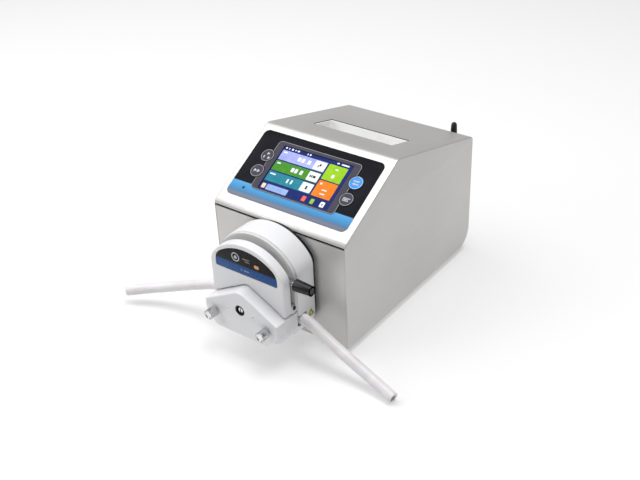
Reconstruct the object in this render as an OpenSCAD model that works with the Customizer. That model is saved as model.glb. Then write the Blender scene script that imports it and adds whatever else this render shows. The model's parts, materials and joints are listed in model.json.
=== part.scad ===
// Bench peristaltic pump: a folded steel drive with a touch panel, and an easy-load roller head.
// Pieces are laid out in drive coordinates: x across, y back from the front sheet, z up from the
// underside of the floor sheet. place() moves them so that the origin is under the middle.

/* [Drive] */
// Width of the drive housing
body_w = 180; // [170:1:210]
// Depth of the drive housing
body_d = 266; // [262:1:290]
// Height of the front sheet, up to the slope
front_h = 134; // [132:1:140]
// Angle of the screen panel above level
slope_a = 29.3; // [27:0.1:31]
// Length of the screen panel, bottom edge to ridge
slope_len = 115.2; // [114:0.1:122]
// Fall of the top towards the rear
top_a = 14.2; // [12:0.1:15]
// Thickness of the sheet metal
sheet = 1.5; // [1.2:0.1:1.6]
// Height of the rubber feet
foot_h = 7; // [5:0.5:12]

/* [Screen panel] */
// Width of the printed overlay
overlay_w = 162; // [158:1:164]
// Width of the visible screen
screen_w = 95.2; // [92:0.1:96]
// Height of the visible screen
screen_h = 60.6; // [58:0.1:62]
// Diameter of each round key
key_d = 16.6; // [15:0.1:16.8]
// Travel of each key
key_travel = 0.5; // [0.3:0.1:0.5]

/* [Pump head] */
// Radius of the arched top
arch_r = 59; // [58:0.5:60]
// Height of the arch centre
arch_z = 79; // [79:0.5:80]
// Half width of the rear half of the head
head_hw = 51.5; // [51.5:0.1:52]
// Height of the rotor axis
rotor_z = 60; // [60:0.1:60.5]
// Distance from rotor axis to roller axis
orbit_r = 24; // [23.5:0.1:24]
// Radius of each roller
roller_r = 9; // [8.5:0.1:9]
// Number of rollers
roller_count = 3; // [3:1:3]
// Lift of the jaw when the lever is thrown over
jaw_lift = 12; // [8:0.5:12]
// Distance from the lever axis to the tip of the grip
lever_len = 76; // [70:1:80]

/* [Tube] */
// Outer diameter of the tube
tube_d = 12.7; // [11:0.1:12.7]
// Thickness of the squeezed tube under the rollers
squeezed_t = 4.2; // [3.8:0.1:4.2]

/* [Hidden] */

steel = [0.69, 0.67, 0.66];
bright_steel = [0.78, 0.78, 0.79];
white_plastic = [0.86, 0.86, 0.87];
grey_plastic = [0.6, 0.61, 0.62];
black_plastic = [0.06, 0.06, 0.07];
panel_blue = [0.1, 0.3, 0.55];
board_green = [0.05, 0.32, 0.18];
silicone = [0.88, 0.84, 0.85];

half_w = body_w / 2;
ridge_y = slope_len * cos(slope_a);
ridge_z = front_h + slope_len * sin(slope_a);
rear_top_z = ridge_z - (body_d - ridge_y) * tan(top_a);
head_reach = 83;
rear_reach = body_d + 12;
front_y = (head_reach - rear_reach) / 2;

// ---- Outline helpers: corners are [x, y, radius] ----
function unit(v) = v / norm(v);
function flat(p) = [p[0], p[1]];
function polar(c, r, a) = c + r * [cos(a), sin(a)];
function bearing_of(v) = atan2(v[1], v[0]);
function short_turn(a, b) = b - a > 180 ? b - a - 360 : b - a < -180 ? b - a + 360 : b - a;
function half_angle(p, q, s) = acos(unit(p - q) * unit(s - q)) / 2;
function bisector(p, q, s) = unit(unit(p - q) + unit(s - q));
function arc_between(c, r, a, b) = [for (i = [0:8]) polar(c, r, a + short_turn(a, b) * i / 8)];
function round_corner(p, q, s, r) =
    let (half = half_angle(p, q, s), run = r / tan(half), c = q + bisector(p, q, s) * r / sin(half))
    arc_between(c, r, bearing_of(q + unit(p - q) * run - c), bearing_of(q + unit(s - q) * run - c));
function before(pts, i) = flat(pts[(i + len(pts) - 1) % len(pts)]);
function after(pts, i) = flat(pts[(i + 1) % len(pts)]);
function rounded(pts) = [for (i = [0:len(pts) - 1]) each
    pts[i][2] == 0 ? [flat(pts[i])] : round_corner(before(pts, i), flat(pts[i]), after(pts, i), pts[i][2])];
function inset_point(p, q, s, t) = q + bisector(p, q, s) * t / sin(half_angle(p, q, s));
function inset(pts, t) = [for (i = [0:len(pts) - 1])
    concat(inset_point(before(pts, i), flat(pts[i]), after(pts, i), t), max(pts[i][2] - t, 0))];
function box_outline(w, d, r) =
    rounded([[-w / 2, -d / 2, r], [w / 2, -d / 2, r], [w / 2, d / 2, r], [-w / 2, d / 2, r]]);

// An arch on straight sides, its shoulders blended by a fillet that ends on the arch
shoulder_a = 8;
function shoulder_start(r, hw) = acos(hw / r) + shoulder_a;
function shoulder(r, zc, hw) =
    let (a = shoulder_start(r, hw)) [hw, zc + (r - hw * cos(a)) / sin(a)];
function shoulder_r(r, zc, hw) =
    let (a = shoulder_start(r, hw)) 0.98 * norm(shoulder(r, zc, hw) - polar([0, zc], r, a)) / tan(a / 2);
function arch_points(r, zc, hw) =
    let (a = shoulder_start(r, hw), f = shoulder_r(r, zc, hw), s = shoulder(r, zc, hw), n = 20)
    concat([[s[0], s[1], f]],
        [for (i = [0:n]) concat(polar([0, zc], r, a + (180 - 2 * a) * i / n), 0)],
        [[-s[0], s[1], f]]);
function arch_outline(r, zc, hw, zb, rb) =
    rounded(concat([[-hw, zb, rb], [hw, zb, rb]], arch_points(r, zc, hw)));

// ---- Placing helpers ----
module place() { translate([0, front_y, foot_h]) children(); }
module on_slope() { place() translate([0, 0, front_h]) rotate([slope_a, 0, 0]) children(); }
module on_top() { place() translate([0, ridge_y, ridge_z]) rotate([-top_a, 0, 0]) children(); }
module across(x0, x1) { translate([x0, 0, 0]) rotate([90, 0, 90]) linear_extrude(x1 - x0) children(); }
module facing(y0, y1) { translate([0, y1, 0]) rotate([90, 0, 0]) linear_extrude(y1 - y0) children(); }
module rod(x, z, r, y0, y1) {
    translate([x, y1, z]) rotate([90, 0, 0]) cylinder(r = r, h = y1 - y0, $fn = 64);
}
module bar(x0, x1, y0, y1, z0, z1) { translate([x0, y0, z0]) cube([x1 - x0, y1 - y0, z1 - z0]); }
module both_sides() {
    children();
    mirror([1, 0, 0]) children();
}

// ---- Drive housing ----
side_profile = [
    [0, 0, 2], [body_d, 0, 25], [body_d, rear_top_z, 6], [ridge_y, ridge_z, 10], [0, front_h, 8]
];
seam_z = front_h - 6;
seam_gap = 0.3;
flange_w = 12;
handle_hw = 55;
handle_t0 = 43;
handle_t1 = 81;
handle_depth = 30;
screw_x = half_w - 10;
floor_screw_ys = [60, 200];
rear_screw_zs = [76, 110];
connector_z = 54;
inlet_x = -50;
switch_x = -6;
signal_x = 40;
antenna_x = 59;
antenna_z = 110;
glass_w = screen_w + 5;
glass_h = screen_h + 4;
screen_s = 61.3;
key_spots = [[-60.5, 73], [60.5, 73], [-61, 51], [61, 51]];

module housing_solid(t) { polygon(rounded(inset(side_profile, t))); }

module housing_cover() {
    color(steel) {
        difference() {
            place() across(-half_w, half_w) housing_solid(0);
            place() across(sheet - half_w, half_w - sheet) housing_solid(sheet);
            place() bar(sheet - half_w, half_w - sheet, -1, body_d + 1, -1, seam_z);
            on_slope() screen_cut();
            on_top() bar(-handle_hw, handle_hw, handle_t0, handle_t1, -9, 9);
        }
        cover_flanges();
    }
}
module screen_cut() {
    translate([0, screen_s, -5]) linear_extrude(10) polygon(box_outline(glass_w + 0.4, glass_h + 0.4, 1));
    for (p = key_spots) translate([p[0], p[1], -5]) cylinder(r = key_d / 2 + 0.3, h = 10, $fn = 48);
}
// Return flanges on the side sheets, which the floor and rear sheets are screwed to
module cover_flanges() {
    inner_x = half_w - sheet;
    place() both_sides() difference() {
        union() {
            bar(inner_x - flange_w, inner_x, 20, body_d - 30, sheet + seam_gap, 2 * sheet + seam_gap);
            bar(inner_x - flange_w, inner_x, body_d - 2 * sheet - seam_gap, body_d - sheet - seam_gap, 35, 122);
        }
        for (y = floor_screw_ys) translate([screw_x, y, 0]) cylinder(r = 1.5, h = 6, $fn = 24);
        for (z = rear_screw_zs) rod(screw_x, z, 1.5, body_d - 6, body_d);
    }
}

module chassis() {
    outer = side_profile;
    edge_x = half_w - sheet - seam_gap;
    color(steel) place() difference() {
        across(-edge_x, edge_x) housing_solid(0);
        across(-half_w, half_w) housing_solid(sheet);
        bar(-half_w, half_w, -1, body_d + 1, seam_z - seam_gap, ridge_z + 1);
        rod(0, rotor_z, shaft_clear_r, -1, sheet + 1);
        for (p = head_screw_spots) rod(p[0], p[1], 2.5, -1, sheet + 1);
        both_sides() for (y = floor_screw_ys) translate([screw_x, y, -1]) cylinder(r = 1.5, h = 4, $fn = 24);
        both_sides() for (z = rear_screw_zs) rod(screw_x, z, 1.5, body_d - 3, body_d + 1);
        both_sides() for (y = foot_ys) translate([foot_x, y, -1]) cylinder(r = 2, h = 4, $fn = 24);
        rear_cuts();
        floor_vents();
    }
}
vent_count = 9;
vent_pitch = 8;
module rear_cuts() {
    bar(inlet_x - 20.2, inlet_x + 20.2, body_d - 3, body_d + 1, connector_z - 11.2, connector_z + 11.2);
    bar(switch_x - 9.2, switch_x + 9.2, body_d - 3, body_d + 1, connector_z - 13.2, connector_z + 13.2);
    bar(signal_x - 14, signal_x + 14, body_d - 3, body_d + 1, connector_z - 5.5, connector_z + 5.5);
    for (x = [inlet_x - 24, inlet_x + 24]) rod(x, connector_z, 1.5, body_d - 3, body_d + 1);
    for (x = [signal_x - 17, signal_x + 17]) rod(x, connector_z, 1.5, body_d - 3, body_d + 1);
    rod(antenna_x, antenna_z, 3.2, body_d - 3, body_d + 1);
    for (i = [0:vent_count - 1]) translate([-76 + i * vent_pitch, body_d - 3, 84]) cube([3, 4, 30]);
}
module floor_vents() {
    for (i = [0:vent_count - 1]) translate([(i - (vent_count - 1) / 2) * vent_pitch - 1.5, 110, -1])
        cube([3, 24, 4]);
}

module handle_tray() {
    color(bright_steel) on_top() difference() {
        union() {
            bar(-handle_hw + 0.3, handle_hw - 0.3, handle_t0 + 0.3, handle_t1 - 0.3, -handle_depth, -0.4);
            bar(-handle_hw - 8, handle_hw + 8, handle_t0 - 8, handle_t1 + 8, -sheet - 1.2, -sheet - 0.1);
        }
        bar(-handle_hw + sheet, handle_hw - sheet, handle_t0 + sheet, handle_t1 - sheet, sheet - handle_depth, 1);
    }
}

module pan_screw(r_head, h_head, r_shank, length) {
    translate([0, 0, -length]) cylinder(r = r_shank, h = length, $fn = 24);
    difference() {
        cylinder(r = r_head, h = h_head, $fn = 32);
        translate([-r_head * 0.55, -0.4, h_head - 0.8]) cube([r_head * 1.1, 0.8, 2]);
        translate([-0.4, -r_head * 0.55, h_head - 0.8]) cube([0.8, r_head * 1.1, 2]);
    }
}
module cover_screws() {
    color(bright_steel) place() both_sides() {
        for (y = floor_screw_ys) translate([screw_x, y, 0]) rotate([180, 0, 0]) pan_screw(3, 2, 1.5, 5);
        for (z = rear_screw_zs) translate([screw_x, body_d, z]) rotate([-90, 0, 0]) pan_screw(3, 2, 1.5, 5);
    }
}

foot_x = half_w - 18;
foot_ys = [26, 222];
module rubber_feet() {
    color(black_plastic) place() both_sides() for (y = foot_ys) translate([foot_x, y, -foot_h]) difference() {
        cylinder(r1 = 9, r2 = 10, h = foot_h, $fn = 48);
        translate([0, 0, -1]) cylinder(r = 4, h = foot_h - 2, $fn = 32);
        cylinder(r = 2, h = foot_h + 1, $fn = 24);
    }
}
module foot_screws() {
    color(bright_steel) place() both_sides() for (y = foot_ys) translate([foot_x, y, -3])
        rotate([180, 0, 0]) pan_screw(3.6, 2, 2, 8);
}

// ---- Screen panel ----
module front_overlay() {
    color(black_plastic) on_slope() difference() {
        translate([0, 59.8, 0]) linear_extrude(0.4) polygon(box_outline(overlay_w, 91.5, 7));
        translate([0, screen_s, -1]) linear_extrude(3) polygon(box_outline(screen_w, screen_h, 0.8));
        for (p = key_spots) translate([p[0], p[1], -1]) cylinder(r = key_d / 2 + 0.3, h = 3, $fn = 48);
    }
}
module display_bezel() {
    color([0.25, 0.24, 0.3]) on_slope() difference() {
        translate([0, 62.5, 0.4]) linear_extrude(0.6) polygon(box_outline(114, 67, 5));
        translate([0, screen_s, 0]) linear_extrude(3) polygon(box_outline(screen_w, screen_h, 0.8));
        for (p = key_spots) translate([p[0], p[1], 0]) cylinder(r = key_d / 2 + 0.6, h = 3, $fn = 48);
    }
}
module touch_glass() {
    color([0.2, 0.25, 0.5]) on_slope() translate([0, screen_s, -sheet])
        linear_extrude(sheet - 0.05) polygon(box_outline(glass_w, glass_h, 0.8));
}
module lcd_module() {
    color(grey_plastic) on_slope() {
        bar(-glass_w / 2, glass_w / 2, screen_s - glass_h / 2 - 2, screen_s + glass_h / 2 + 2, -5, -sheet - 0.1);
        bar(-42, 42, screen_s - 26, screen_s + 26, -8, -5);
        bar(-20, 20, screen_s - 34, screen_s - 26, -6.5, -5);
    }
}
module key(i) {
    color([0.12, 0.14, 0.2]) on_slope() translate([key_spots[i][0], key_spots[i][1], 0]) {
        translate([0, 0, -2]) cylinder(r = key_d / 2, h = 3.2, $fn = 48);
        translate([0, 0, -2.8]) cylinder(r = key_d / 2 + 0.9, h = 0.9, $fn = 48);
        translate([0, 0, -3.6]) cylinder(r = 2, h = 1, $fn = 24);
    }
}
module start_key() { key(0); }
module direction_key() { key(1); }
module prime_key() { key(2); }
module menu_key() { key(3); }
module keypad_boards() {
    color(board_green) on_slope() {
        both_sides() bar(51.4, 70.5, 40, 84, -7.2, -5.6);
        for (p = key_spots) translate([p[0], p[1], 0]) {
            translate([-3, -3, -5.8]) cube([6, 6, 0.9]);
            translate([0, 0, -5]) cylinder(r = 1.7, h = 0.9 - key_travel + 0.1, $fn = 24);
        }
    }
}
standoff_spots = [[-72, 21], [72, 21], [-72, 99], [72, 99]];
board_n = -20;
board_t = 1.6;
module control_board() {
    color(board_green) on_slope() {
        difference() {
            bar(-77, 77, 15, 104, board_n, board_n + board_t);
            for (p = standoff_spots) translate([p[0], p[1], board_n - 1]) cylinder(r = 1.6, h = 4, $fn = 24);
        }
        translate([0, 0, board_n + board_t]) board_parts();
        bar(-30, 30, 30, 36, board_n - 8, board_n);
        bar(50, 62, 60, 82, board_n - 10, board_n);
    }
}
module board_parts() {
    bar(-12, 12, 50, 74, 0, 1.6);
    bar(24, 36, 44, 56, 0, 1.4);
    bar(-44, -30, 60, 70, 0, 1.4);
    bar(-24, 24, 84, 90, 0, 6);
    bar(-66, -58, 40, 60, 0, 7);
    for (i = [0:4]) translate([30 + i * 8, 92, 0]) cylinder(r = 3, h = 7, $fn = 32);
    for (i = [0:3]) translate([-56 + i * 8, 30, 0]) cylinder(r = 2.5, h = 6, $fn = 32);
}
module board_standoffs() {
    color([0.75, 0.6, 0.3]) on_slope() for (p = standoff_spots) translate([p[0], p[1], 0]) {
        translate([0, 0, board_n + board_t]) cylinder(r = 3, h = -sheet - board_n - board_t, $fn = 32);
        translate([0, 0, board_n - 2]) cylinder(r = 1.6, h = 4, $fn = 24);
        translate([0, 0, board_n - 2.2]) cylinder(r = 3, h = 2.2, $fn = 32);
    }
}

// ---- Electrics inside and at the rear ----
module power_supply() {
    color(grey_plastic) place() translate([4, 0, 0]) difference() {
        union() {
            bar(-72, -14, 140, 236, sheet, 3);
            bar(-72, -70.5, 140, 236, 3, 36);
            bar(-68, -17, 143, 233, 8, 9.6);
            bar(-50, -26, 168, 192, 9.6, 34);
            bar(-20, -17, 150, 226, 9.6, 32);
            for (y = [152, 206, 222]) translate([-58, y, 9.6]) cylinder(r = 6, h = 20, $fn = 40);
            for (x = [-66, -20], y = [146, 230]) translate([x, y, 3]) cylinder(r = 2.5, h = 5, $fn = 24);
            bar(-48, -24, 222, 233, 9.6, 20);
        }
        for (i = [0:6]) translate([-73, 150 + i * 12, 14]) cube([4, 6, 16]);
    }
}
module driver_board() {
    color(board_green) place() {
        bar(12, 70, 140, 232, 8, 9.6);
        for (x = [16, 66], y = [144, 228]) translate([x, y, sheet]) cylinder(r = 3, h = 8 - sheet, $fn = 24);
        bar(18, 64, 150, 192, 9.6, 14);
        for (i = [0:7]) translate([19 + i * 6, 150, 14]) cube([2, 42, 16]);
        bar(20, 60, 218, 230, 9.6, 20);
        for (i = [0:2]) translate([24 + i * 16, 205, 9.6]) cylinder(r = 6, h = 18, $fn = 40);
    }
}

shaft_clear_r = 13;
motor_side = 56.4;
motor_y0 = sheet + 5;
motor_y1 = motor_y0 + 76;
motor_pitch = 47.14 / 2;
head_screw_spots = [[-36, 34], [36, 34], [-36, 108], [36, 108]];
motor_corners = [for (sx = [-1, 1], sz = [-1, 1]) [sx * motor_pitch, rotor_z + sz * motor_pitch]];
module motor_plate() {
    color(bright_steel) place() difference() {
        facing(sheet, motor_y0) translate([0, 70]) polygon(box_outline(104, 100, 4));
        rod(0, rotor_z, shaft_clear_r, 0, motor_y0 + 1);
        for (p = head_screw_spots) rod(p[0], p[1], 2.5, 0, motor_y0 + 1);
        for (p = motor_corners) rod(p[0], p[1], 2.5, 0, motor_y0 + 1);
    }
}
module stepper_motor() {
    color(black_plastic) place() difference() {
        union() {
            facing(motor_y0, motor_y0 + 5) translate([0, rotor_z]) polygon(box_outline(motor_side, motor_side, 4));
            facing(motor_y0 + 5, motor_y1) translate([0, rotor_z]) polygon(box_outline(motor_side, motor_side, 4));
            bar(-8, 8, motor_y1 - 16, motor_y1 - 4, rotor_z + motor_side / 2, rotor_z + motor_side / 2 + 8);
        }
        for (p = motor_corners) {
            rod(p[0], p[1], 2.5, motor_y0 - 1, motor_y0 + 6);
            rod(p[0], p[1], 5.4, motor_y0 + 5, motor_y1 - 12);
        }
        rod(0, rotor_z, shaft_r + 0.05, motor_y0 - 1, motor_y1 + 1);
    }
}
module motor_screws() {
    color(bright_steel) place() for (p = motor_corners) translate([p[0], motor_y0 + 5, p[1]])
        rotate([-90, 0, 0]) socket_screw(4.2, 5, 2.5, 10);
}
module socket_screw(r_head, h_head, r_shank, length) {
    translate([0, 0, -length]) cylinder(r = r_shank, h = length, $fn = 24);
    difference() {
        cylinder(r = r_head, h = h_head, $fn = 40);
        translate([0, 0, h_head - 2.5]) cylinder(r = r_head * 0.55, h = 3, $fn = 6);
    }
}
module head_screws() {
    color(bright_steel) place() for (p = head_screw_spots) translate([p[0], motor_y0, p[1]])
        rotate([-90, 0, 0]) socket_screw(4.2, 5, 2.5, 20);
}

shaft_r = 4;
coupling_y = -5.3;
tongue_t = 5;
module motor_shaft() { color(bright_steel) place() rod(0, rotor_z, shaft_r, -5, motor_y1 + 3); }
module drive_coupling() {
    color(bright_steel) place() difference() {
        union() {
            rod(0, rotor_z, 11, coupling_y, motor_y0 - 1);
            bar(-5.6, 5.6, coupling_y - 5, coupling_y, rotor_z - tongue_t / 2, rotor_z + tongue_t / 2);
        }
        rod(0, rotor_z, shaft_r, -5, motor_y0);
    }
}

module power_inlet() {
    pin_zs = [[-7, -3], [7, -3], [0, -5]];
    color(black_plastic) place() translate([inlet_x, 0, connector_z]) {
        difference() {
            union() {
                facing(body_d, body_d + 2.5) polygon(box_outline(58, 28, 6));
                bar(-20, 20, body_d - 26, body_d, -11, 11);
            }
            facing(body_d - 15, body_d + 3) polygon([[-12, -8.5], [12, -8.5], [12, 4], [7.5, 8.5], [-7.5, 8.5], [-12, 4]]);
            for (x = [-24, 24]) rod(x, 0, 1.5, body_d - 1, body_d + 3);
        }
        for (p = pin_zs) bar(p[0] - 1, p[0] + 1, body_d - 16, body_d - 2, p[1] - 2, p[1] + 2);
        for (p = pin_zs) bar(p[0] - 3, p[0] + 3, body_d - 34, body_d - 26, p[1] - 0.5, p[1] + 0.5);
    }
}
module inlet_screws() {
    color(bright_steel) place() for (x = [inlet_x - 24, inlet_x + 24])
        translate([x, body_d + 2.5, connector_z]) rotate([-90, 0, 0]) pan_screw(2.8, 1.8, 1.5, 9);
}
rocker_y = body_d - 3;
rocker_rest_a = 10;
module power_switch() {
    color(black_plastic) place() translate([switch_x, 0, connector_z]) difference() {
        union() {
            facing(body_d, body_d + 2) polygon(box_outline(22, 31, 2));
            bar(-9, 9, body_d - 22, body_d, -13, 13);
            for (z = [-7, 7]) bar(-3, 3, body_d - 30, body_d - 22, z - 0.5, z + 0.5);
        }
        bar(-7.6, 7.6, body_d - 12, body_d + 3, -12.4, 12.4);
        translate([-8.6, rocker_y, 0]) rotate([0, 90, 0]) cylinder(r = 1.55, h = 17.2, $fn = 32);
    }
}
module power_rocker() {
    color([0.5, 0.08, 0.07]) place() translate([switch_x, rocker_y, connector_z]) rotate([-rocker_rest_a, 0, 0]) {
        across(-7, 7) polygon([[-4, -9], [3.4, -11.2], [5.2, -11.2], [3.6, 0], [5.2, 11.2], [3.4, 11.2], [-4, 9]]);
        translate([-8.3, 0, 0]) rotate([0, 90, 0]) cylinder(r = 1.5, h = 16.6, $fn = 32);
    }
}
module signal_socket() {
    color(grey_plastic) place() translate([signal_x, 0, connector_z]) difference() {
        union() {
            facing(body_d, body_d + 1) polygon(box_outline(40, 12.5, 2));
            facing(body_d + 1, body_d + 6) polygon([[-12, -4], [12, -4], [13, 4], [-13, 4]]);
            bar(-13.6, 13.6, body_d - 10, body_d, -5.2, 5.2);
        }
        for (x = [-17, 17]) rod(x, 0, 1.5, body_d - 1, body_d + 2);
        for (i = [0:7]) rod((i - 3.5) * 2.7, 1.5, 0.6, body_d + 2, body_d + 7);
        for (i = [0:6]) rod((i - 3) * 2.7, -1.5, 0.6, body_d + 2, body_d + 7);
    }
}
module socket_screws() {
    color(bright_steel) place() for (x = [signal_x - 17, signal_x + 17]) difference() {
        union() {
            translate([x, body_d + 6, connector_z]) rotate([90, 0, 0]) cylinder(r = 2.7, h = 5, $fn = 6);
            rod(x, connector_z, 1.5, body_d - 6, body_d + 1);
        }
        rod(x, connector_z, 1.1, body_d + 3, body_d + 7);
    }
}

// ---- Stub antenna on the rear sheet ----
elbow_y = body_d + 8;
module antenna_mount() {
    color([0.75, 0.6, 0.3]) place() difference() {
        union() {
            rod(antenna_x, antenna_z, 3.2, body_d - 10, body_d + 2.5);
            translate([antenna_x, body_d + 2, antenna_z]) rotate([90, 0, 0]) cylinder(r = 5, h = 2, $fn = 6);
        }
        rod(antenna_x, antenna_z, 1.55, body_d - 4, body_d + 3);
    }
}
module antenna_elbow() {
    color(black_plastic) place() translate([antenna_x, 0, antenna_z]) {
        rod(0, 0, 1.5, body_d - 3, body_d + 3);
        difference() {
            rod(0, 0, 5.4, body_d + 2.8, body_d + 12);
            bar(-2.8, 2.8, body_d + 3.8, body_d + 13, -6, 6);
        }
        translate([-4.6, elbow_y, 0]) rotate([0, 90, 0]) cylinder(r = 1.2, h = 9.2, $fn = 32);
    }
}
antenna_top = 50;
module antenna_rod() {
    color(black_plastic) place() translate([antenna_x, elbow_y, antenna_z]) difference() {
        union() {
            translate([-2.5, 0, 0]) rotate([0, 90, 0]) cylinder(r = 3.4, h = 5, $fn = 40);
            bar(-2.5, 2.5, -2.5, 2.5, 0, 8);
            rotate_extrude($fn = 40) polygon([[0, 6.5], [2.9, 7], [3.9, 9], [3.9, antenna_top - 14],
                [3.6, antenna_top - 8], [3.2, antenna_top - 5.5], [2.2, antenna_top - 4.3], [0, antenna_top - 4]]);
        }
        translate([-4, 0, 0]) rotate([0, 90, 0]) cylinder(r = 1.25, h = 8, $fn = 32);
    }
}

// ---- Pump head: fixed halves ----
flange_t = 5;
back_y0 = -34;
wall_y = -15.5;
front_y0 = -55;
jaw_rear_y = -43;
boss_y = -70;
front_hw = 50;
head_floor = 18;
head_corner = 24;
pocket_wall = 3.5;
rotor_clear_r = orbit_r + roller_r + 1.3;
rotor_gap_y = -40.2;
tube_y = -28;
tube_r = tube_d / 2;
loop_r = 35.5;
bend_r = 15.5;
bend_x = loop_r + bend_r;
exit_z = rotor_z - bend_r;
slot_x = 30;
slot_z0 = exit_z - tube_r - 0.6;
slot_z1 = rotor_z - 4;
slot_y0 = tube_y - tube_r - 0.65;
slot_y1 = tube_y + tube_r + 0.65;
squeeze_x = 48;
squeeze_z = 50;
split_side_z = 57.5;
split_apex_z = 83.5;
split_blend = 6;
neck_z0 = split_side_z + 1;
bearing_r = 10.5;
rear_bearing_y = -15.5;
front_bearing_y = -50;
bearing_t = 5;

module mount_flange() {
    color(black_plastic) place() difference() {
        facing(-flange_t, 0) polygon(arch_outline(arch_r - 3, arch_z, head_hw - 3, head_floor + 4, head_corner - 3));
        rod(0, rotor_z, shaft_clear_r, -flange_t - 1, 1);
        for (p = head_screw_spots) rod(p[0], p[1], 2.5, -flange_t - 1, 1);
    }
}
module head_back() {
    color(white_plastic) place() difference() {
        facing(back_y0, -flange_t) polygon(arch_outline(arch_r, arch_z, head_hw, head_floor, head_corner));
        facing(back_y0 - 1, wall_y)
            polygon(arch_outline(arch_r - pocket_wall, arch_z, head_hw - pocket_wall, slot_z1 - 2, 0));
        rod(0, rotor_z, rotor_clear_r, back_y0 - 1, wall_y);
        both_sides() bar(slot_x, head_hw + 1, back_y0 - 1, slot_y1, slot_z0, slot_z1);
        both_sides() bar(slot_x, squeeze_x, back_y0 - 1, tube_y + squeezed_w / 2 + 0.5, squeeze_z, slot_z1);
        rod(0, rotor_z, bearing_r, wall_y - 1, wall_y + bearing_t);
        rod(0, rotor_z, 11.4, -10.2, 0);
        rod(0, rotor_z, 8, -12, 0);
        for (p = head_screw_spots) rod(p[0], p[1], 2.5, wall_y + 1.5, 0);
    }
}
module shaft_bearings() {
    color(bright_steel) place() for (y = [rear_bearing_y, front_bearing_y]) ring_bearing(y);
}
module ring_bearing(y0) {
    difference() {
        rod(0, rotor_z, bearing_r, y0, y0 + bearing_t);
        rod(0, rotor_z, rotor_shaft_r + 0.03, y0 - 1, y0 + bearing_t + 1);
    }
}

boss_outline = rounded([
    [0, split_apex_z, split_blend], [-front_hw, split_side_z, 1.5], [-front_hw, 46, 4], [-37, 26.5, 4],
    [37, 26.5, 4], [front_hw, 46, 4], [front_hw, split_side_z, 1.5]
]);
nose_outline = rounded([
    [0, split_apex_z, split_blend], [-front_hw, split_side_z, 0], [-front_hw, head_floor + 1, head_corner],
    [front_hw, head_floor + 1, head_corner], [front_hw, split_side_z, 0]
]);
skirt_outline = rounded([
    [front_hw, split_side_z - 0.5, 0], [-front_hw, split_side_z - 0.5, 0],
    [-front_hw, head_floor + 1, head_corner], [front_hw, head_floor + 1, head_corner]
]);
screw_hole_x = 36;
screw_hole_z = 47;
screw_shank_r = 2;
pin_x = 43;
pin_y = -49;
pin_r = 3;
clamp_x0 = 33.2;
clamp_x1 = 49.6;
clamp_z0 = 40;
clamp_z1 = 50.2;
clamp_y0 = slot_y0 - 5.4;
clamp_travel = 1.6;
module head_front() {
    color(white_plastic) place() difference() {
        union() {
            facing(boss_y, front_y0) polygon(boss_outline);
            facing(front_y0, jaw_rear_y) polygon(nose_outline);
            facing(jaw_rear_y, back_y0) polygon(skirt_outline);
        }
        rod(0, rotor_z, rotor_clear_r, rotor_gap_y, back_y0 + 1);
        both_sides() bar(slot_x, front_hw + 1, slot_y0, back_y0 + 1, slot_z0, split_side_z + 1);
        both_sides() bar(slot_x, squeeze_x, block_y0 - 0.4, back_y0 + 1, squeeze_z, split_side_z + 1);
        both_sides() bar(clamp_x0 - 0.4, front_hw + 1, clamp_y0 - clamp_travel - 0.4, slot_y0 + 1,
            clamp_z0 - 0.4, clamp_z1 + 0.4);
        rod(0, rotor_z, window_r, boss_y - 1, front_bearing_y);
        rod(0, rotor_z, bearing_r, front_bearing_y, front_bearing_y + bearing_t);
        rod(0, rotor_z, 8, front_bearing_y, back_y0);
        both_sides() rod(screw_hole_x, screw_hole_z, screw_shank_r + 0.1, boss_y - 1, slot_y0);
        both_sides() translate([pin_x, pin_y, 32]) cylinder(r = pin_r, h = 50, $fn = 48);
        both_sides() rod(17, 58, 1.6, boss_y - 1, boss_y + 2);
    }
}
window_r = 6.5;

// ---- Pump head: jaw ----
jaw_arch_z = arch_z - 5;
jaw_gap = 1;
cam_z = 97;
cam_top_gap = 0.3;
apex_cut = split_blend * (1 / cos(atan((split_apex_z - split_side_z) / front_hw)) - 1);
cam_low = cam_z - (split_apex_z - apex_cut) - cam_top_gap;
cam_y0 = -50;
cam_y1 = -45;
pocket_hw = 27.5;
spring_z0 = 70;
spring_z1 = 97;
track_r = loop_r + squeezed_t / 2 + 0.3;
block_y0 = -37.3;
block_y1 = -19;
horn_r = 10.5;
block_flange_t = 3;
block_flange = arch_outline(arch_r - 1.5, arch_z, head_hw - 1.5, 60, 1);
function jaw_bottom(x) = split_apex_z + jaw_gap - x * (split_apex_z - split_side_z) / front_hw;
neck_x = 39;
neck_gap = 0.4;
neck_root = [[neck_x, jaw_bottom(neck_x)], [front_hw, jaw_bottom(front_hw)], [front_hw, 68], [neck_x, 68]];
module upper_jaw() {
    v = [[-front_hw, neck_z0, 0], [0, split_apex_z + jaw_gap, split_blend], [front_hw, neck_z0, 0]];
    color(white_plastic) place() difference() {
        union() {
            facing(front_y0, jaw_rear_y) polygon(rounded(concat(v, arch_points(arch_r, jaw_arch_z, front_hw))));
            both_sides() facing(jaw_rear_y - 1, jaw_rear_y + neck_gap) polygon(neck_root);
            both_sides() bar(neck_x, front_hw, jaw_rear_y + neck_gap, block_y0, neck_z0, 68);
        }
        facing(front_y0 - 1, front_y0 + 1) polygon(label_outline(0.3));
        bar(-pocket_hw, pocket_hw, cam_y0 - 0.3, jaw_rear_y + 1, 70, cam_z + pocket_hw - 1);
        rod(0, cam_z, cam_shaft_r + 0.05, cam_y0 - 3.5, cam_y0 + 1);
        both_sides() translate([pin_x, pin_y, 50]) cylinder(r = pin_r + 0.05, h = 40, $fn = 48);
        both_sides() translate([pin_x, pin_y, spring_z0]) cylinder(r = 5.2, h = 33, $fn = 48);
    }
}
function label_outline(grow) = arch_outline(60 + grow, 67.2, 42 + grow, 96 - grow, 2);
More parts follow.
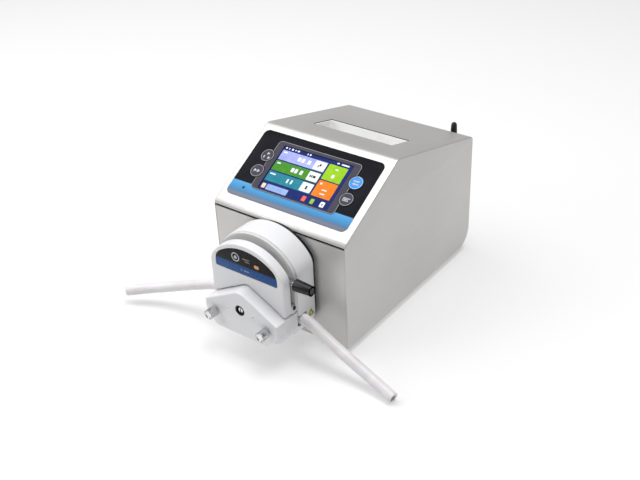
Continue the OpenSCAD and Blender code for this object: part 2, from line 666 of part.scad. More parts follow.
module head_label() { color(panel_blue) place() facing(front_y0 + 0.3, front_y0 + 1) polygon(label_outline(0)); }
module pressure_block() {
    color(grey_plastic) place() difference() {
        union() {
            facing(block_y0, block_y1)
                polygon([[-47.4, 54.5], [47.4, 54.5], [47.4, 92], [34, 107], [-34, 107], [-47.4, 92]]);
            facing(block_y0, block_y0 + block_flange_t) polygon(block_flange);
        }
        rod(0, rotor_z, track_r, block_y0 - 1, block_y1 + 1);
        both_sides() difference() {
            bar(20, 48, block_y0 - 1, block_y1 + 1, 50, rotor_z);
            rod(bend_x, rotor_z, horn_r, block_y0 - 2, block_y1 + 2);
        }
    }
}
module cam_keeper() {
    color(bright_steel) place() difference() {
        bar(0.2 - pocket_hw, pocket_hw - 0.2, cam_y1 + 0.3, jaw_rear_y, 86, cam_z + pocket_hw - 1.2);
        rod(0, cam_z, cam_shaft_r + 0.05, cam_y1, jaw_rear_y + 1);
    }
}
module guide_pins() {
    color(bright_steel) place() both_sides() translate([pin_x, pin_y, 0]) {
        translate([0, 0, 32]) cylinder(r = pin_r, h = spring_z1 - 32, $fn = 48);
        translate([0, 0, spring_z1]) cylinder(r = 4.8, h = 2, $fn = 48);
    }
}
spring_wire_r = 0.5;
spring_r = 4;
spring_turns = 6;
module jaw_springs() {
    rings = spring_turns * 12;
    z0 = spring_z0 + spring_wire_r + 0.1;
    rise = spring_z1 - spring_wire_r - 0.1 - z0;
    path = [for (i = [0:rings]) let (a = i * 30) [spring_r * cos(a), spring_r * sin(a), z0 + rise * i / rings]];
    color(bright_steel) place() both_sides() translate([pin_x, pin_y, 0])
        swept(path, [for (p = path) [spring_wire_r, spring_wire_r]], 5);
}

// ---- Lever and cam ----
cam_shaft_r = 5;
lever_y = -40.4;
lever_t = 4.4;
stub_r = 3.2;
grip_x = 53.5;
function cam_radius(a) = a <= 270 ? cam_low + jaw_lift * (270 - a) / 180
    : cam_low + jaw_lift * (1 - cos(a - 270)) / 2;
module cam_shaft() {
    outline = [for (i = [0:59]) let (a = 90 + i * 6) polar([0, cam_z], cam_radius(a), a)];
    color(bright_steel) place() union() {
        rod(0, cam_z, cam_shaft_r, cam_y0 - 3.2, lever_y + lever_t / 2);
        facing(cam_y0, cam_y1) polygon(outline);
    }
}
module lever_arm() {
    color(bright_steel) place() difference() {
        union() {
            rod(0, cam_z, 8.5, lever_y - lever_t / 2, lever_y + lever_t / 2);
            bar(4, 52, lever_y - lever_t / 2, lever_y + lever_t / 2, cam_z - 3.5, cam_z + 3.5);
            translate([50.8, lever_y, cam_z]) rotate([0, 90, 0]) cylinder(r = stub_r, h = 10.2, $fn = 40);
        }
        rod(0, cam_z, cam_shaft_r, lever_y - 4, lever_y + 4);
    }
}
module lever_grip() {
    grip_len = lever_len - grip_x;
    color(black_plastic) place() translate([grip_x, lever_y, cam_z]) rotate([0, 90, 0]) difference() {
        rotate_extrude($fn = 48) polygon(rounded([[0, 0, 0], [6, 0, 1.2], [4.7, grip_len, 1.6], [0, grip_len, 0]]));
        translate([0, 0, -1]) cylinder(r = stub_r, h = 61 - grip_x + 1, $fn = 40);
    }
}

// ---- Rotor ----
rotor_shaft_r = 6;
plate_r = 28;
roller_y0 = -37.1;
roller_y1 = -18.9;
roller_pin_r = 2.5;
function roller_spot(i) = polar([0, rotor_z], orbit_r, 90 + i * 360 / roller_count);
module rotor_shaft() {
    color(bright_steel) place() difference() {
        union() {
            rod(0, rotor_z, rotor_shaft_r, front_bearing_y, coupling_y - 0.9);
            rod(0, rotor_z, 4.6, -64, front_bearing_y);
        }
        bar(-8, 8, coupling_y - 6, coupling_y, rotor_z - tongue_t / 2 - 0.1, rotor_z + tongue_t / 2 + 0.1);
        bar(-1.5, 1.5, -65, -60, rotor_z - 6, rotor_z + 6);
    }
}
module rotor_hub() {
    color(grey_plastic) place() difference() {
        union() {
            rod(0, rotor_z, plate_r, roller_y1 + 0.3, wall_y - 0.5);
            rod(0, rotor_z, plate_r, -39.6, roller_y0 - 0.3);
            rod(0, rotor_z, 12, roller_y0 - 0.5, roller_y1 + 0.5);
        }
        rod(0, rotor_z, rotor_shaft_r, -45, 0);
        for (i = [0:roller_count - 1]) rod(roller_spot(i)[0], roller_spot(i)[1], roller_pin_r, -45, 0);
    }
}
module roller_pins() {
    color(bright_steel) place() for (i = [0:roller_count - 1])
        rod(roller_spot(i)[0], roller_spot(i)[1], roller_pin_r, -39.6, wall_y - 0.5);
}
module roller(i) {
    spot = roller_spot(i);
    color(bright_steel) place() difference() {
        rod(spot[0], spot[1], roller_r, roller_y0, roller_y1);
        rod(spot[0], spot[1], roller_pin_r + 0.05, roller_y0 - 1, roller_y1 + 1);
    }
}
module roller_1() { roller(0); }
module roller_2() { roller(1); }
module roller_3() { roller(2); }

// ---- Tube clamps and their thumb screws ----
knob_r = 5.8;
knob_y0 = -83;
knob_flutes = 18;
module thumb_screw() {
    place() difference() {
        union() {
            rod(screw_hole_x, screw_hole_z, knob_r, knob_y0, boss_y - 2);
            rod(screw_hole_x, screw_hole_z, 3.6, boss_y - 2, boss_y - 0.3);
            rod(screw_hole_x, screw_hole_z, screw_shank_r, boss_y - 0.3, slot_y0 - 1.2);
        }
        for (i = [0:knob_flutes - 1]) let (p = polar([screw_hole_x, screw_hole_z], knob_r + 0.35, i * 360 / knob_flutes))
            rod(p[0], p[1], 0.7, knob_y0 - 1, boss_y - 4);
    }
}
module right_thumb_screw() { color(bright_steel) thumb_screw(); }
module left_thumb_screw() { color(bright_steel) mirror([1, 0, 0]) thumb_screw(); }
module tube_clamp() {
    place() difference() {
        bar(clamp_x0, clamp_x1, clamp_y0, slot_y0 - 0.1, clamp_z0, clamp_z1);
        rod(screw_hole_x, screw_hole_z, screw_shank_r + 0.05, clamp_y0 - 1, slot_y0 + 1);
    }
}
module right_tube_clamp() { color(grey_plastic) tube_clamp(); }
module left_tube_clamp() { color(grey_plastic) mirror([1, 0, 0]) tube_clamp(); }

// ---- Tube ----
// Left and right free ends, as drive coordinates from the slot outwards
left_route = [[-51, -28, 44.5], [-57, -28, 44.4], [-66, -28, 43.5], [-80, -28.5, 40.5], [-95, -30, 35],
    [-115, -33.5, 28], [-140, -40, 20], [-166, -51, 14], [-188, -64, 10]];
right_route = [[51, -28, 44.5], [56, -28, 44], [64, -28, 41.5], [75, -28.5, 36], [90, -29, 28.5],
    [108, -30, 20.5], [129, -31.5, 12.5], [150, -34, 5.5], [173, -38, -0.4]];
tube_sides = 12;

function cross_of(d) = unit([-d[1], d[0], 0]);
function ring_at(p, d, size, n) =
    let (u = abs(d[2]) > 0.99 ? [1, 0, 0] : cross_of(d), w = unit(cross(d, u)))
    [for (k = [0:n - 1]) p + u * size[0] * cos(k * 360 / n) + w * size[1] * sin(k * 360 / n)];
function heading(path, i) = unit(path[min(i + 1, len(path) - 1)] - path[max(i - 1, 0)]);
module swept(path, sizes, n, first = undef, last = undef) {
    top = len(path) - 1;
    rings = [for (i = [0:top])
        let (d = i == 0 && first != undef ? first : i == top && last != undef ? last : heading(path, i))
        ring_at(path[i], d, sizes[i], n)];
    sides = [for (i = [0:top - 1], k = [0:n - 1], s = [0, 1])
        s == 0 ? [i * n + k, i * n + (k + 1) % n, (i + 1) * n + k]
            : [i * n + (k + 1) % n, (i + 1) * n + (k + 1) % n, (i + 1) * n + k]];
    caps = [[for (k = [n - 1:-1:0]) k], [for (k = [0:n - 1]) top * n + k]];
    polyhedron(points = [for (r = rings) each r], faces = concat(sides, caps));
}

// The loop over the rollers: quarter bend, arch, quarter bend; it flattens in the second half of a bend
bend_steps = 8;
arch_steps = 20;
function bend_point(t) = [polar([-bend_x, rotor_z], bend_r, -90 + 90 * t), t];
function loop_point(t) = [polar([0, rotor_z], loop_r, 180 - 180 * t), 1];
function mirror_point(q) = [[-q[0][0], q[0][1]], q[1]];
loop_points = concat(
    [for (i = [0:bend_steps]) bend_point(i / bend_steps)],
    [for (i = [1:arch_steps - 1]) loop_point(i / arch_steps)],
    [for (i = [bend_steps:-1:0]) mirror_point(bend_point(i / bend_steps))]);
squeezed_w = 18;
function blend(t) = (1 - cos(180 * t)) / 2;
function loop_size(t) =
    let (k = blend(max(0, t - 0.4) / 0.6))
    [tube_r + (squeezed_w / 2 - tube_r) * k, tube_r + (squeezed_t / 2 - tube_r) * k];
module tube_loop() {
    path = [for (q = loop_points) [q[0][0], tube_y, q[0][1]]];
    top = len(path) - 1;
    n = tube_sides;
    rings = [for (i = [0:top])
        let (d = i == 0 || i == top ? [1, 0, 0] : heading(path, i), size = loop_size(loop_points[i][1]),
            w = [-d[2], 0, d[0]])
        [for (k = [0:n - 1]) path[i] + [0, 1, 0] * size[0] * cos(k * 360 / n) + w * size[1] * sin(k * 360 / n)]];
    sides = [for (i = [0:top - 1], k = [0:n - 1], s = [0, 1])
        s == 0 ? [i * n + k, i * n + (k + 1) % n, (i + 1) * n + k]
            : [i * n + (k + 1) % n, (i + 1) * n + (k + 1) % n, (i + 1) * n + k]];
    caps = [[for (k = [n - 1:-1:0]) k], [for (k = [0:n - 1]) top * n + k]];
    color(silicone) place() polyhedron(points = [for (r = rings) each r], faces = concat(sides, caps));
}
module tube_tail(route, out) {
    place() swept(route, [for (p = route) [tube_r, tube_r]], tube_sides, first = out);
}
module left_tube_tail() { color(silicone) tube_tail(left_route, [-1, 0, 0]); }
module right_tube_tail() { color(silicone) tube_tail(right_route, [1, 0, 0]); }

housing_cover();
chassis();
handle_tray();
cover_screws();
rubber_feet();
foot_screws();
front_overlay();
display_bezel();
touch_glass();
lcd_module();
start_key();
direction_key();
prime_key();
menu_key();
keypad_boards();
control_board();
board_standoffs();
power_supply();
driver_board();
motor_plate();
stepper_motor();
motor_screws();
motor_shaft();
drive_coupling();
power_inlet();
inlet_screws();
power_switch();
power_rocker();
signal_socket();
socket_screws();
antenna_mount();
antenna_elbow();
antenna_rod();
mount_flange();
head_screws();
head_back();
head_front();
shaft_bearings();
upper_jaw();
pressure_block();
cam_keeper();
head_label();
guide_pins();
jaw_springs();
cam_shaft();
lever_arm();
lever_grip();
rotor_shaft();
rotor_hub();
roller_pins();
roller_1();
roller_2();
roller_3();
left_thumb_screw();
right_thumb_screw();
left_tube_clamp();
right_tube_clamp();
tube_loop();
left_tube_tail();
right_tube_tail();
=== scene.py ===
import json
import math

import bpy
from mathutils import Matrix, Vector


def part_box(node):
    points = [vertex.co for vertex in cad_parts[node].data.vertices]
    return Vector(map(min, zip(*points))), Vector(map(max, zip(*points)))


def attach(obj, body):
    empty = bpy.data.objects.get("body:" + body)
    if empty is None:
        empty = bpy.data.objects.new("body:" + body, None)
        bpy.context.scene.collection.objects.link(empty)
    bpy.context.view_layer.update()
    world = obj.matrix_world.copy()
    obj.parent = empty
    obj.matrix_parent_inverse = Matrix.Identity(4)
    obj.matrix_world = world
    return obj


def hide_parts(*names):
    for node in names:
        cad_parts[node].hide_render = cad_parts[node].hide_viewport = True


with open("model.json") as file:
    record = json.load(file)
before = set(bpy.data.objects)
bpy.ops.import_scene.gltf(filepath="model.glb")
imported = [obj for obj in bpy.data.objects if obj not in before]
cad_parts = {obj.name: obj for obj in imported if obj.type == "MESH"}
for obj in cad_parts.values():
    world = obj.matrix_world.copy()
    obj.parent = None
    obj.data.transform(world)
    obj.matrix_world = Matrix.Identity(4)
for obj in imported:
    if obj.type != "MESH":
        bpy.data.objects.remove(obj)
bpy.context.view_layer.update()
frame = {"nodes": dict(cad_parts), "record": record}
nodes = frame["nodes"]
print("frame loaded:", len(nodes), "nodes")

# Sizes below are millimetres in the drive's own axes: y back from the front sheet, z up from the floor sheet
coverLow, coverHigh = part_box("housing_cover")


def at(x, y, z):
    return Vector((x, y, z)) / 1000 + Vector((0, coverLow.y, coverLow.z))


drive = {
    "profile": [(0, 0, 2), (266, 0, 25), (266, 148.49, 6), (100.46, 190.38, 10), (0, 134, 8)],
    "halfWidth": 90,
    "sheet": 1.5,
    "seam": (128.3, 130.9),
    "rim": 1.1,
    "slopeTurn": 29.3,
    "topTurn": -14.2,
}
slopeStart = at(0, 0, 134)
topStart = at(0, 100.46, 190.38)

# camera
viewpoint = {
    "aim": (-0.0047, -0.0175, 0.0750),
    "azimuth": 38.02,
    "elevation": 32.03,
    "roll": -2.72,
    "distance": 1.1186,
    "lens": 54.06,
}


def makeCamera():
    az = math.radians(viewpoint["azimuth"])
    el = math.radians(viewpoint["elevation"])
    roll = math.radians(viewpoint["roll"])
    ahead = Vector((-math.sin(az) * math.cos(el), math.cos(az) * math.cos(el), -math.sin(el)))
    right = Vector((math.cos(az), math.sin(az), 0))
    up = right.cross(ahead)
    acrossView = right * math.cos(roll) + up * math.sin(roll)
    upView = up * math.cos(roll) - right * math.sin(roll)
    place = Vector(viewpoint["aim"]) - ahead * viewpoint["distance"]
    turn = Matrix((acrossView, upView, -ahead)).transposed()
    camera = bpy.data.objects.new("viewCamera", bpy.data.cameras.new("viewCamera"))
    camera.data.lens = viewpoint["lens"]
    camera.data.sensor_width = 36
    camera.data.clip_start = 0.01
    camera.matrix_world = Matrix.Translation(place) @ turn.to_4x4()
    bpy.context.scene.collection.objects.link(camera)
    bpy.context.scene.camera = camera


makeCamera()


# helpers for picking, placing and closing meshes
def deselect():
    active = bpy.context.view_layer.objects.active
    if active and active.mode != "OBJECT":
        bpy.ops.object.mode_set(mode="OBJECT")
    bpy.ops.object.select_all(action="DESELECT")


def pick(*pieces):
    deselect()
    for piece in pieces:
        piece.select_set(True)
    bpy.context.view_layer.objects.active = pieces[0]


def settle(piece):
    pick(piece)
    bpy.ops.object.transform_apply(location=True, rotation=True, scale=True)
    return piece


def moveTo(piece, place, turn=(0, 0, 0)):
    piece.location = place
    piece.rotation_euler = [math.radians(a) for a in turn]
    return settle(piece)


def onSlope(piece):
    return moveTo(piece, slopeStart, (drive["slopeTurn"], 0, 0))


def onTop(piece):
    return moveTo(piece, topStart, (drive["topTurn"], 0, 0))


def onFront(piece):
    return moveTo(piece, at(0, 0, 0), (90, 0, 0))


def editAll(piece):
    pick(piece)
    bpy.ops.object.mode_set(mode="EDIT")
    bpy.ops.mesh.select_all(action="SELECT")


def leaveEdit():
    bpy.ops.object.mode_set(mode="OBJECT")


def closeSeams(piece, gap=0.000004):
    editAll(piece)
    bpy.ops.mesh.remove_doubles(threshold=gap)
    bpy.ops.mesh.normals_make_consistent(inside=False)
    leaveEdit()
    return piece


def soften(piece, degrees=32):
    pick(piece)
    bpy.ops.object.shade_smooth_by_angle(angle=math.radians(degrees))
    return piece


def useModifier(piece, kind, **settings):
    pick(piece)
    step = piece.modifiers.new("step", kind)
    for key, value in settings.items():
        setattr(step, key, value)
    bpy.ops.object.modifier_apply(modifier=step.name)
    return piece


def bevelEdges(piece, width, segments=2, degrees=50):
    turn = math.radians(degrees)
    return useModifier(piece, "BEVEL", width=width, segments=segments, limit_method="ANGLE", angle_limit=turn)


def combine(piece, others, operation="DIFFERENCE"):
    for other in others:
        useModifier(piece, "BOOLEAN", operation=operation, solver="EXACT", object=other)
        bpy.data.objects.remove(other, do_unlink=True)
    return piece


def copyOf(piece, name):
    twin = piece.copy()
    twin.data = piece.data.copy()
    twin.name = name
    bpy.context.scene.collection.objects.link(twin)
    return twin


def selectWhere(piece, test, kind="FACE"):
    pick(piece)
    bpy.ops.object.mode_set(mode="EDIT")
    bpy.ops.mesh.select_mode(type=kind)
    bpy.ops.mesh.select_all(action="DESELECT")
    bpy.ops.object.mode_set(mode="OBJECT")
    mesh = piece.data
    if kind == "FACE":
        for face in mesh.polygons:
            face.select = test(face.center, face.normal)
    else:
        for edge in mesh.edges:
            a, b = (mesh.vertices[i].co for i in edge.vertices)
            edge.select = test((a + b) / 2, (b - a).normalized())
    bpy.ops.object.mode_set(mode="EDIT")


def extrudeUp(distance):
    bpy.ops.mesh.extrude_region_move(TRANSFORM_OT_translate={"value": (0, 0, distance)})


def raiseBy(distance):
    bpy.ops.transform.translate(value=(0, 0, distance))


def addBlock(name, low, high):
    deselect()
    middle = [(a + b) / 2000 for a, b in zip(low, high)]
    bpy.ops.mesh.primitive_cube_add(size=1, location=middle)
    piece = bpy.context.object
    piece.name = name
    piece.scale = [(b - a) / 1000 for a, b in zip(low, high)]
    return settle(piece)


def addRod(name, centre, radius, low, high, sides=64, topRadius=None):
    # a round bar along local z, in millimetres
    deselect()
    bpy.ops.mesh.primitive_cone_add(
        vertices=sides, radius1=radius / 1000, depth=(high - low) / 1000,
        radius2=(radius if topRadius is None else topRadius) / 1000,
        location=(centre[0] / 1000, centre[1] / 1000, (low + high) / 2000))
    piece = bpy.context.object
    piece.name = name
    return settle(piece)


def roundCorners(corners, steps=8):
    outline = []
    for i, (x, y, radius) in enumerate(corners):
        here = Vector((x, y))
        if radius <= 0:
            outline.append(here)
            continue
        back = (Vector(corners[i - 1][:2]) - here).normalized()
        ahead = (Vector(corners[(i + 1) % len(corners)][:2]) - here).normalized()
        half = back.angle(ahead) / 2
        centre = here + (back + ahead).normalized() * radius / math.sin(half)
        first = here + back * radius / math.tan(half) - centre
        last = here + ahead * radius / math.tan(half) - centre
        begin = math.atan2(first.y, first.x)
        sweep = (math.atan2(last.y, last.x) - begin + math.pi) % (2 * math.pi) - math.pi
        for k in range(steps + 1):
            a = begin + sweep * k / steps
            outline.append(centre + Vector((math.cos(a), math.sin(a))) * radius)
    return outline


def insetCorners(corners, depth):
    result = []
    for i, (x, y, radius) in enumerate(corners):
        here = Vector((x, y))
        back = (Vector(corners[i - 1][:2]) - here).normalized()
        ahead = (Vector(corners[(i + 1) % len(corners)][:2]) - here).normalized()
        half = back.angle(ahead) / 2
        moved = here + (back + ahead).normalized() * depth / math.sin(half)
        result.append((moved.x, moved.y, max(radius - depth, 0)))
    return result


def roundedBox(width, height, radius, middle=(0, 0)):
    w, h = width / 2, height / 2
    x, y = middle
    return roundCorners([(x - w, y - h, radius), (x + w, y - h, radius),
                         (x + w, y + h, radius), (x - w, y + h, radius)])


def circleLine(x, y, radius, steps=48):
    return [(x + radius * math.cos(k * math.tau / steps), y + radius * math.sin(k * math.tau / steps))
            for k in range(steps)]


def archCorners(radius, centreZ, halfWidth, steps=48):
    # an arch on straight sides, with blended shoulders
    start = math.acos(halfWidth / radius) + math.radians(8)
    shoulderZ = centreZ + (radius - halfWidth * math.cos(start)) / math.sin(start)
    onArc = Vector((radius * math.cos(start), centreZ + radius * math.sin(start)))
    fillet = 0.98 * (Vector((halfWidth, shoulderZ)) - onArc).length / math.tan(start / 2)
    angles = [start + (math.pi - 2 * start) * k / steps for k in range(steps + 1)]
    arc = [(radius * math.cos(a), centreZ + radius * math.sin(a), 0) for a in angles]
    return [(halfWidth, shoulderZ, fillet)] + arc + [(-halfWidth, shoulderZ, fillet)]


def archOutline(radius, centreZ, halfWidth, floor, corner):
    base = [(-halfWidth, floor, corner), (halfWidth, floor, corner)]
    return roundCorners(base + archCorners(radius, centreZ, halfWidth))


def slab(name, outlines, low, high, edge=0.0, rounds=3):
    # flat outlines given a thickness from low to high, with rounded rims
    shape = bpy.data.curves.new(name, "CURVE")
    shape.dimensions = "2D"
    shape.fill_mode = "BOTH"
    for outline in outlines:
        line = shape.splines.new("POLY")
        line.points.add(len(outline) - 1)
        for point, place in zip(line.points, outline):
            point.co = (place[0] / 1000, place[1] / 1000, 0, 1)
        line.use_cyclic_u = True
    shape.extrude = ((high - low) / 2 - edge) / 1000
    shape.bevel_depth = edge / 1000
    shape.bevel_resolution = rounds
    shape.offset = -edge / 1000
    piece = bpy.data.objects.new(name, shape)
    bpy.context.scene.collection.objects.link(piece)
    pick(piece)
    bpy.ops.object.convert(target="MESH")
    piece = bpy.context.object
    moveTo(piece, (0, 0, (low + high) / 2000))
    return closeSeams(piece)


def facing(name, outlines, front, back, edge=0.0, rounds=3):
    return onFront(slab(name, outlines, -back, -front, edge, rounds))


def across(name, outline, low, high, edge=0.0, rounds=3):
    return moveTo(slab(name, [outline], low, high, edge, rounds), at(0, 0, 0), (90, 0, 90))


def frontRod(name, x, z, radius, front, back, sides=64):
    return onFront(addRod(name, (x, z), radius, -back, -front, sides))


def driveBlock(name, low, high):
    return moveTo(addBlock(name, low, high), at(0, 0, 0))


def finishPiece(piece, body, materials, replaced=(), smooth=32):
    piece.data.materials.clear()
    for material in materials:
        piece.data.materials.append(material)
    if smooth:
        soften(piece, smooth)
    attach(piece, body)
    if replaced:
        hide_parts(*replaced)
    return piece


# helpers for the finishes' nodes, then one function for each kind of finish
def startMaterial(name, colour, metallic, rough):
    material = bpy.data.materials.new(name)
    material.use_nodes = True
    tree = material.node_tree
    shader = tree.nodes["Principled BSDF"]
    shader.inputs["Base Color"].default_value = (*colour, 1)
    shader.inputs["Metallic"].default_value = metallic
    shader.inputs["Roughness"].default_value = rough
    where = tree.nodes.new("ShaderNodeTexCoord").outputs["Object"]
    return material, tree, shader, where


def noiseOf(tree, where, scale, stretch=(1, 1, 1), detail=4.0):
    mapping = tree.nodes.new("ShaderNodeMapping")
    mapping.inputs["Scale"].default_value = stretch
    tree.links.new(where, mapping.inputs["Vector"])
    texture = tree.nodes.new("ShaderNodeTexNoise")
    texture.inputs["Scale"].default_value = scale
    texture.inputs["Detail"].default_value = detail
    tree.links.new(mapping.outputs["Vector"], texture.inputs["Vector"])
    return texture.outputs["Fac"]


def ranged(tree, value, low, high, fromLow=0.3, fromHigh=0.7):
    spread = tree.nodes.new("ShaderNodeMapRange")
    spread.inputs["From Min"].default_value = fromLow
    spread.inputs["From Max"].default_value = fromHigh
    spread.inputs["To Min"].default_value = low
    spread.inputs["To Max"].default_value = high
    tree.links.new(value, spread.inputs["Value"])
    return spread.outputs["Result"]


def mixed(tree, factor, first, second):
    blend = tree.nodes.new("ShaderNodeMix")
    blend.data_type = "RGBA"
    tree.links.new(factor, blend.inputs["Factor"])
    for socket, colour in ((blend.inputs[6], first), (blend.inputs[7], second)):
        if isinstance(colour, tuple):
            socket.default_value = (*colour, 1)
        else:
            tree.links.new(colour, socket)
    return blend.outputs[2]


def bumped(tree, shader, value, strength, distance, softEdge=0.0):
    lumps = tree.nodes.new("ShaderNodeBump")
    lumps.inputs["Strength"].default_value = strength
    lumps.inputs["Distance"].default_value = distance
    tree.links.new(value, lumps.inputs["Height"])
    if softEdge:
        corner = tree.nodes.new("ShaderNodeBevel")
        corner.samples = 4
        corner.inputs["Radius"].default_value = softEdge
        tree.links.new(corner.outputs["Normal"], lumps.inputs["Normal"])
    tree.links.new(lumps.outputs["Normal"], shader.inputs["Normal"])


def edgeWearAndSheen(tree, radius):
    # 0 on open faces, rising towards 1 along outer edges; it lightens the rims, partly as rubbed wear and
    # partly as painted highlight
    corner = tree.nodes.new("ShaderNodeBevel")
    corner.samples = 4
    corner.inputs["Radius"].default_value = radius
    surface = tree.nodes.new("ShaderNodeNewGeometry")
    dot = tree.nodes.new("ShaderNodeVectorMath")
    dot.operation = "DOT_PRODUCT"
    tree.links.new(corner.outputs["Normal"], dot.inputs[0])
    tree.links.new(surface.outputs["Normal"], dot.inputs[1])
    return ranged(tree, dot.outputs["Value"], 1.0, 0.0, 0.75, 0.99)


def makeSteel(name, colour, rough, softEdge=0.0):
    material, tree, shader, where = startMaterial(name, colour, 0.55, rough)
    alongX = noiseOf(tree, where, 1, (14, 1500, 1500), 3)
    alongY = noiseOf(tree, where, 1, (1500, 14, 1500), 3)
    surface = tree.nodes.new("ShaderNodeNewGeometry")
    parts = tree.nodes.new("ShaderNodeSeparateXYZ")
    tree.links.new(surface.outputs["Normal"], parts.inputs[0])
    size = tree.nodes.new("ShaderNodeMath")
    size.operation = "ABSOLUTE"
    tree.links.new(parts.outputs["X"], size.inputs[0])
    side = ranged(tree, size.outputs[0], 0, 1, 0.6, 0.8)
    streaks = tree.nodes.new("ShaderNodeMix")
    tree.links.new(side, streaks.inputs["Factor"])
    tree.links.new(alongX, streaks.inputs[2])
    tree.links.new(alongY, streaks.inputs[3])
    patches = noiseOf(tree, where, 9, (1, 1, 1), 5)
    dark = tuple(c * 0.955 for c in colour)
    light = tuple(min(c * 1.03, 1) for c in colour)
    tone = mixed(tree, ranged(tree, patches, 0, 1), dark, light)
    fine = mixed(tree, ranged(tree, streaks.outputs[0], 0.0, 0.25), tone, tuple(c * 0.86 for c in colour))
    # lighter outer edges: partly rubbed wear, partly a painted highlight along the rounded rims
    rimSheenTone = mixed(tree, edgeWearAndSheen(tree, 0.0007), fine, tuple(min(c * 1.15, 1) for c in colour))
    tree.links.new(rimSheenTone, shader.inputs["Base Color"])
    tree.links.new(ranged(tree, streaks.outputs[0], rough - 0.05, rough + 0.07), shader.inputs["Roughness"])
    bumped(tree, shader, streaks.outputs[0], 0.12, 0.0002, softEdge)
    return material


def makePlain(name, colour, metallic, rough, grain=900, depth=0.00004, softEdge=0.0003, rimWearAndSheen=0.0, shine=0.5):
    material, tree, shader, where = startMaterial(name, colour, metallic, rough)
    shader.inputs["Specular IOR Level"].default_value = shine
    fine = noiseOf(tree, where, grain, (1, 1, 1), 2)
    broad = noiseOf(tree, where, 40, (1, 1, 1), 4)
    tone = mixed(tree, ranged(tree, broad, 0, 1), tuple(c * 0.94 for c in colour),
                 tuple(min(c * 1.05, 1) for c in colour))
    # lighter outer edges where given: partly rubbed wear, partly a painted highlight along the rims
    if rimWearAndSheen:
        tone = mixed(tree, edgeWearAndSheen(tree, 0.0006), tone, tuple(min(c + rimWearAndSheen, 1) for c in colour))
    tree.links.new(tone, shader.inputs["Base Color"])
    tree.links.new(ranged(tree, broad, rough - 0.05, rough + 0.06), shader.inputs["Roughness"])
    bumped(tree, shader, fine, 0.25, depth, softEdge)
    return material


def makeGlow(name, colour, glow, rough=0.3):
    # a lit patch of the screen under its glass
    material, tree, shader, where = startMaterial(name, colour, 0, rough)
    uneven = noiseOf(tree, where, 160, (1, 1, 1), 2)
    tone = mixed(tree, ranged(tree, uneven, 0, 1), tuple(c * 0.86 for c in colour),
                 tuple(min(c * 1.1, 1) for c in colour))
    tree.links.new(tone, shader.inputs["Base Color"])
    tree.links.new(tone, shader.inputs["Emission Color"])
    shader.inputs["Emission Strength"].default_value = glow
    shader.inputs["Specular IOR Level"].default_value = 0.06
    return material


def colourBands(tree, value, stops):
    ramp = tree.nodes.new("ShaderNodeValToRGB")
    tree.links.new(value, ramp.inputs["Fac"])
    while len(ramp.color_ramp.elements) < len(stops):
        ramp.color_ramp.elements.new(0.5)
    for element, (spot, colour) in zip(ramp.color_ramp.elements, stops):
        element.position = spot
        element.color = (*colour, 1)
    return ramp.outputs["Color"]


def filmOver(tree, shader, where, bands, grain, rough, shine, lumps):
    # printed bands under a little dust, with a fine grain
    dust = noiseOf(tree, where, grain, (1, 1, 1), 2)
    tone = mixed(tree, ranged(tree, dust, 0, 0.08, 0.5, 0.8), bands, (0.06, 0.07, 0.09))
    tree.links.new(tone, shader.inputs["Base Color"])
    tree.links.new(ranged(tree, dust, *rough), shader.inputs["Roughness"])
    shader.inputs["Specular IOR Level"].default_value = shine
    bumped(tree, shader, dust, *lumps)


def makeOverlayFilm():
    # black printed film with a blue band and a grey foot, laid out along the slope
    material, tree, shader, where = startMaterial("overlayFilm", (0.01, 0.01, 0.012), 0, 0.3)
    local = tree.nodes.new("ShaderNodeMapping")
    local.vector_type = "TEXTURE"
    local.inputs["Location"].default_value = slopeStart
    local.inputs["Rotation"].default_value = (math.radians(drive["slopeTurn"]), 0, 0)
    tree.links.new(where, local.inputs["Vector"])
    parts = tree.nodes.new("ShaderNodeSeparateXYZ")
    tree.links.new(local.outputs["Vector"], parts.inputs[0])
    upSlope = ranged(tree, parts.outputs["Y"], 0, 1, 0.012, 0.112)
    stops = [(0.0, (0.16, 0.17, 0.22)), (0.05, (0.20, 0.22, 0.28)), (0.085, (0.10, 0.20, 0.34)),
             (0.12, (0.06, 0.26, 0.52)), (0.209, (0.10, 0.34, 0.64)), (0.213, (0.004, 0.005, 0.008)),
             (0.6, (0.008, 0.008, 0.013)), (1.0, (0.004, 0.004, 0.006))]
    bands = colourBands(tree, upSlope, stops)
    filmOver(tree, shader, where, bands, 700, (0.24, 0.4), 0.05, (0.15, 0.00003))
    return material


def makeLabelPrint():
    # black over a blue band, split at a fixed height
    material, tree, shader, where = startMaterial("labelPrint", (0.01, 0.01, 0.01), 0, 0.28)
    parts = tree.nodes.new("ShaderNodeSeparateXYZ")
    tree.links.new(where, parts.inputs[0])
    low = at(0, 0, 95).z
    high = at(0, 0, 128).z
    upLabel = ranged(tree, parts.outputs["Z"], 0, 1, low, high)
    stops = [(0.0, (0.03, 0.09, 0.26)), (0.25, (0.018, 0.085, 0.26)), (0.355, (0.012, 0.06, 0.2)),
             (0.37, (0.007, 0.007, 0.008)), (1.0, (0.01, 0.01, 0.009))]
    bands = colourBands(tree, upLabel, stops)
    filmOver(tree, shader, where, bands, 600, (0.22, 0.34), 0.15, (0.1, 0.00002))
    return material


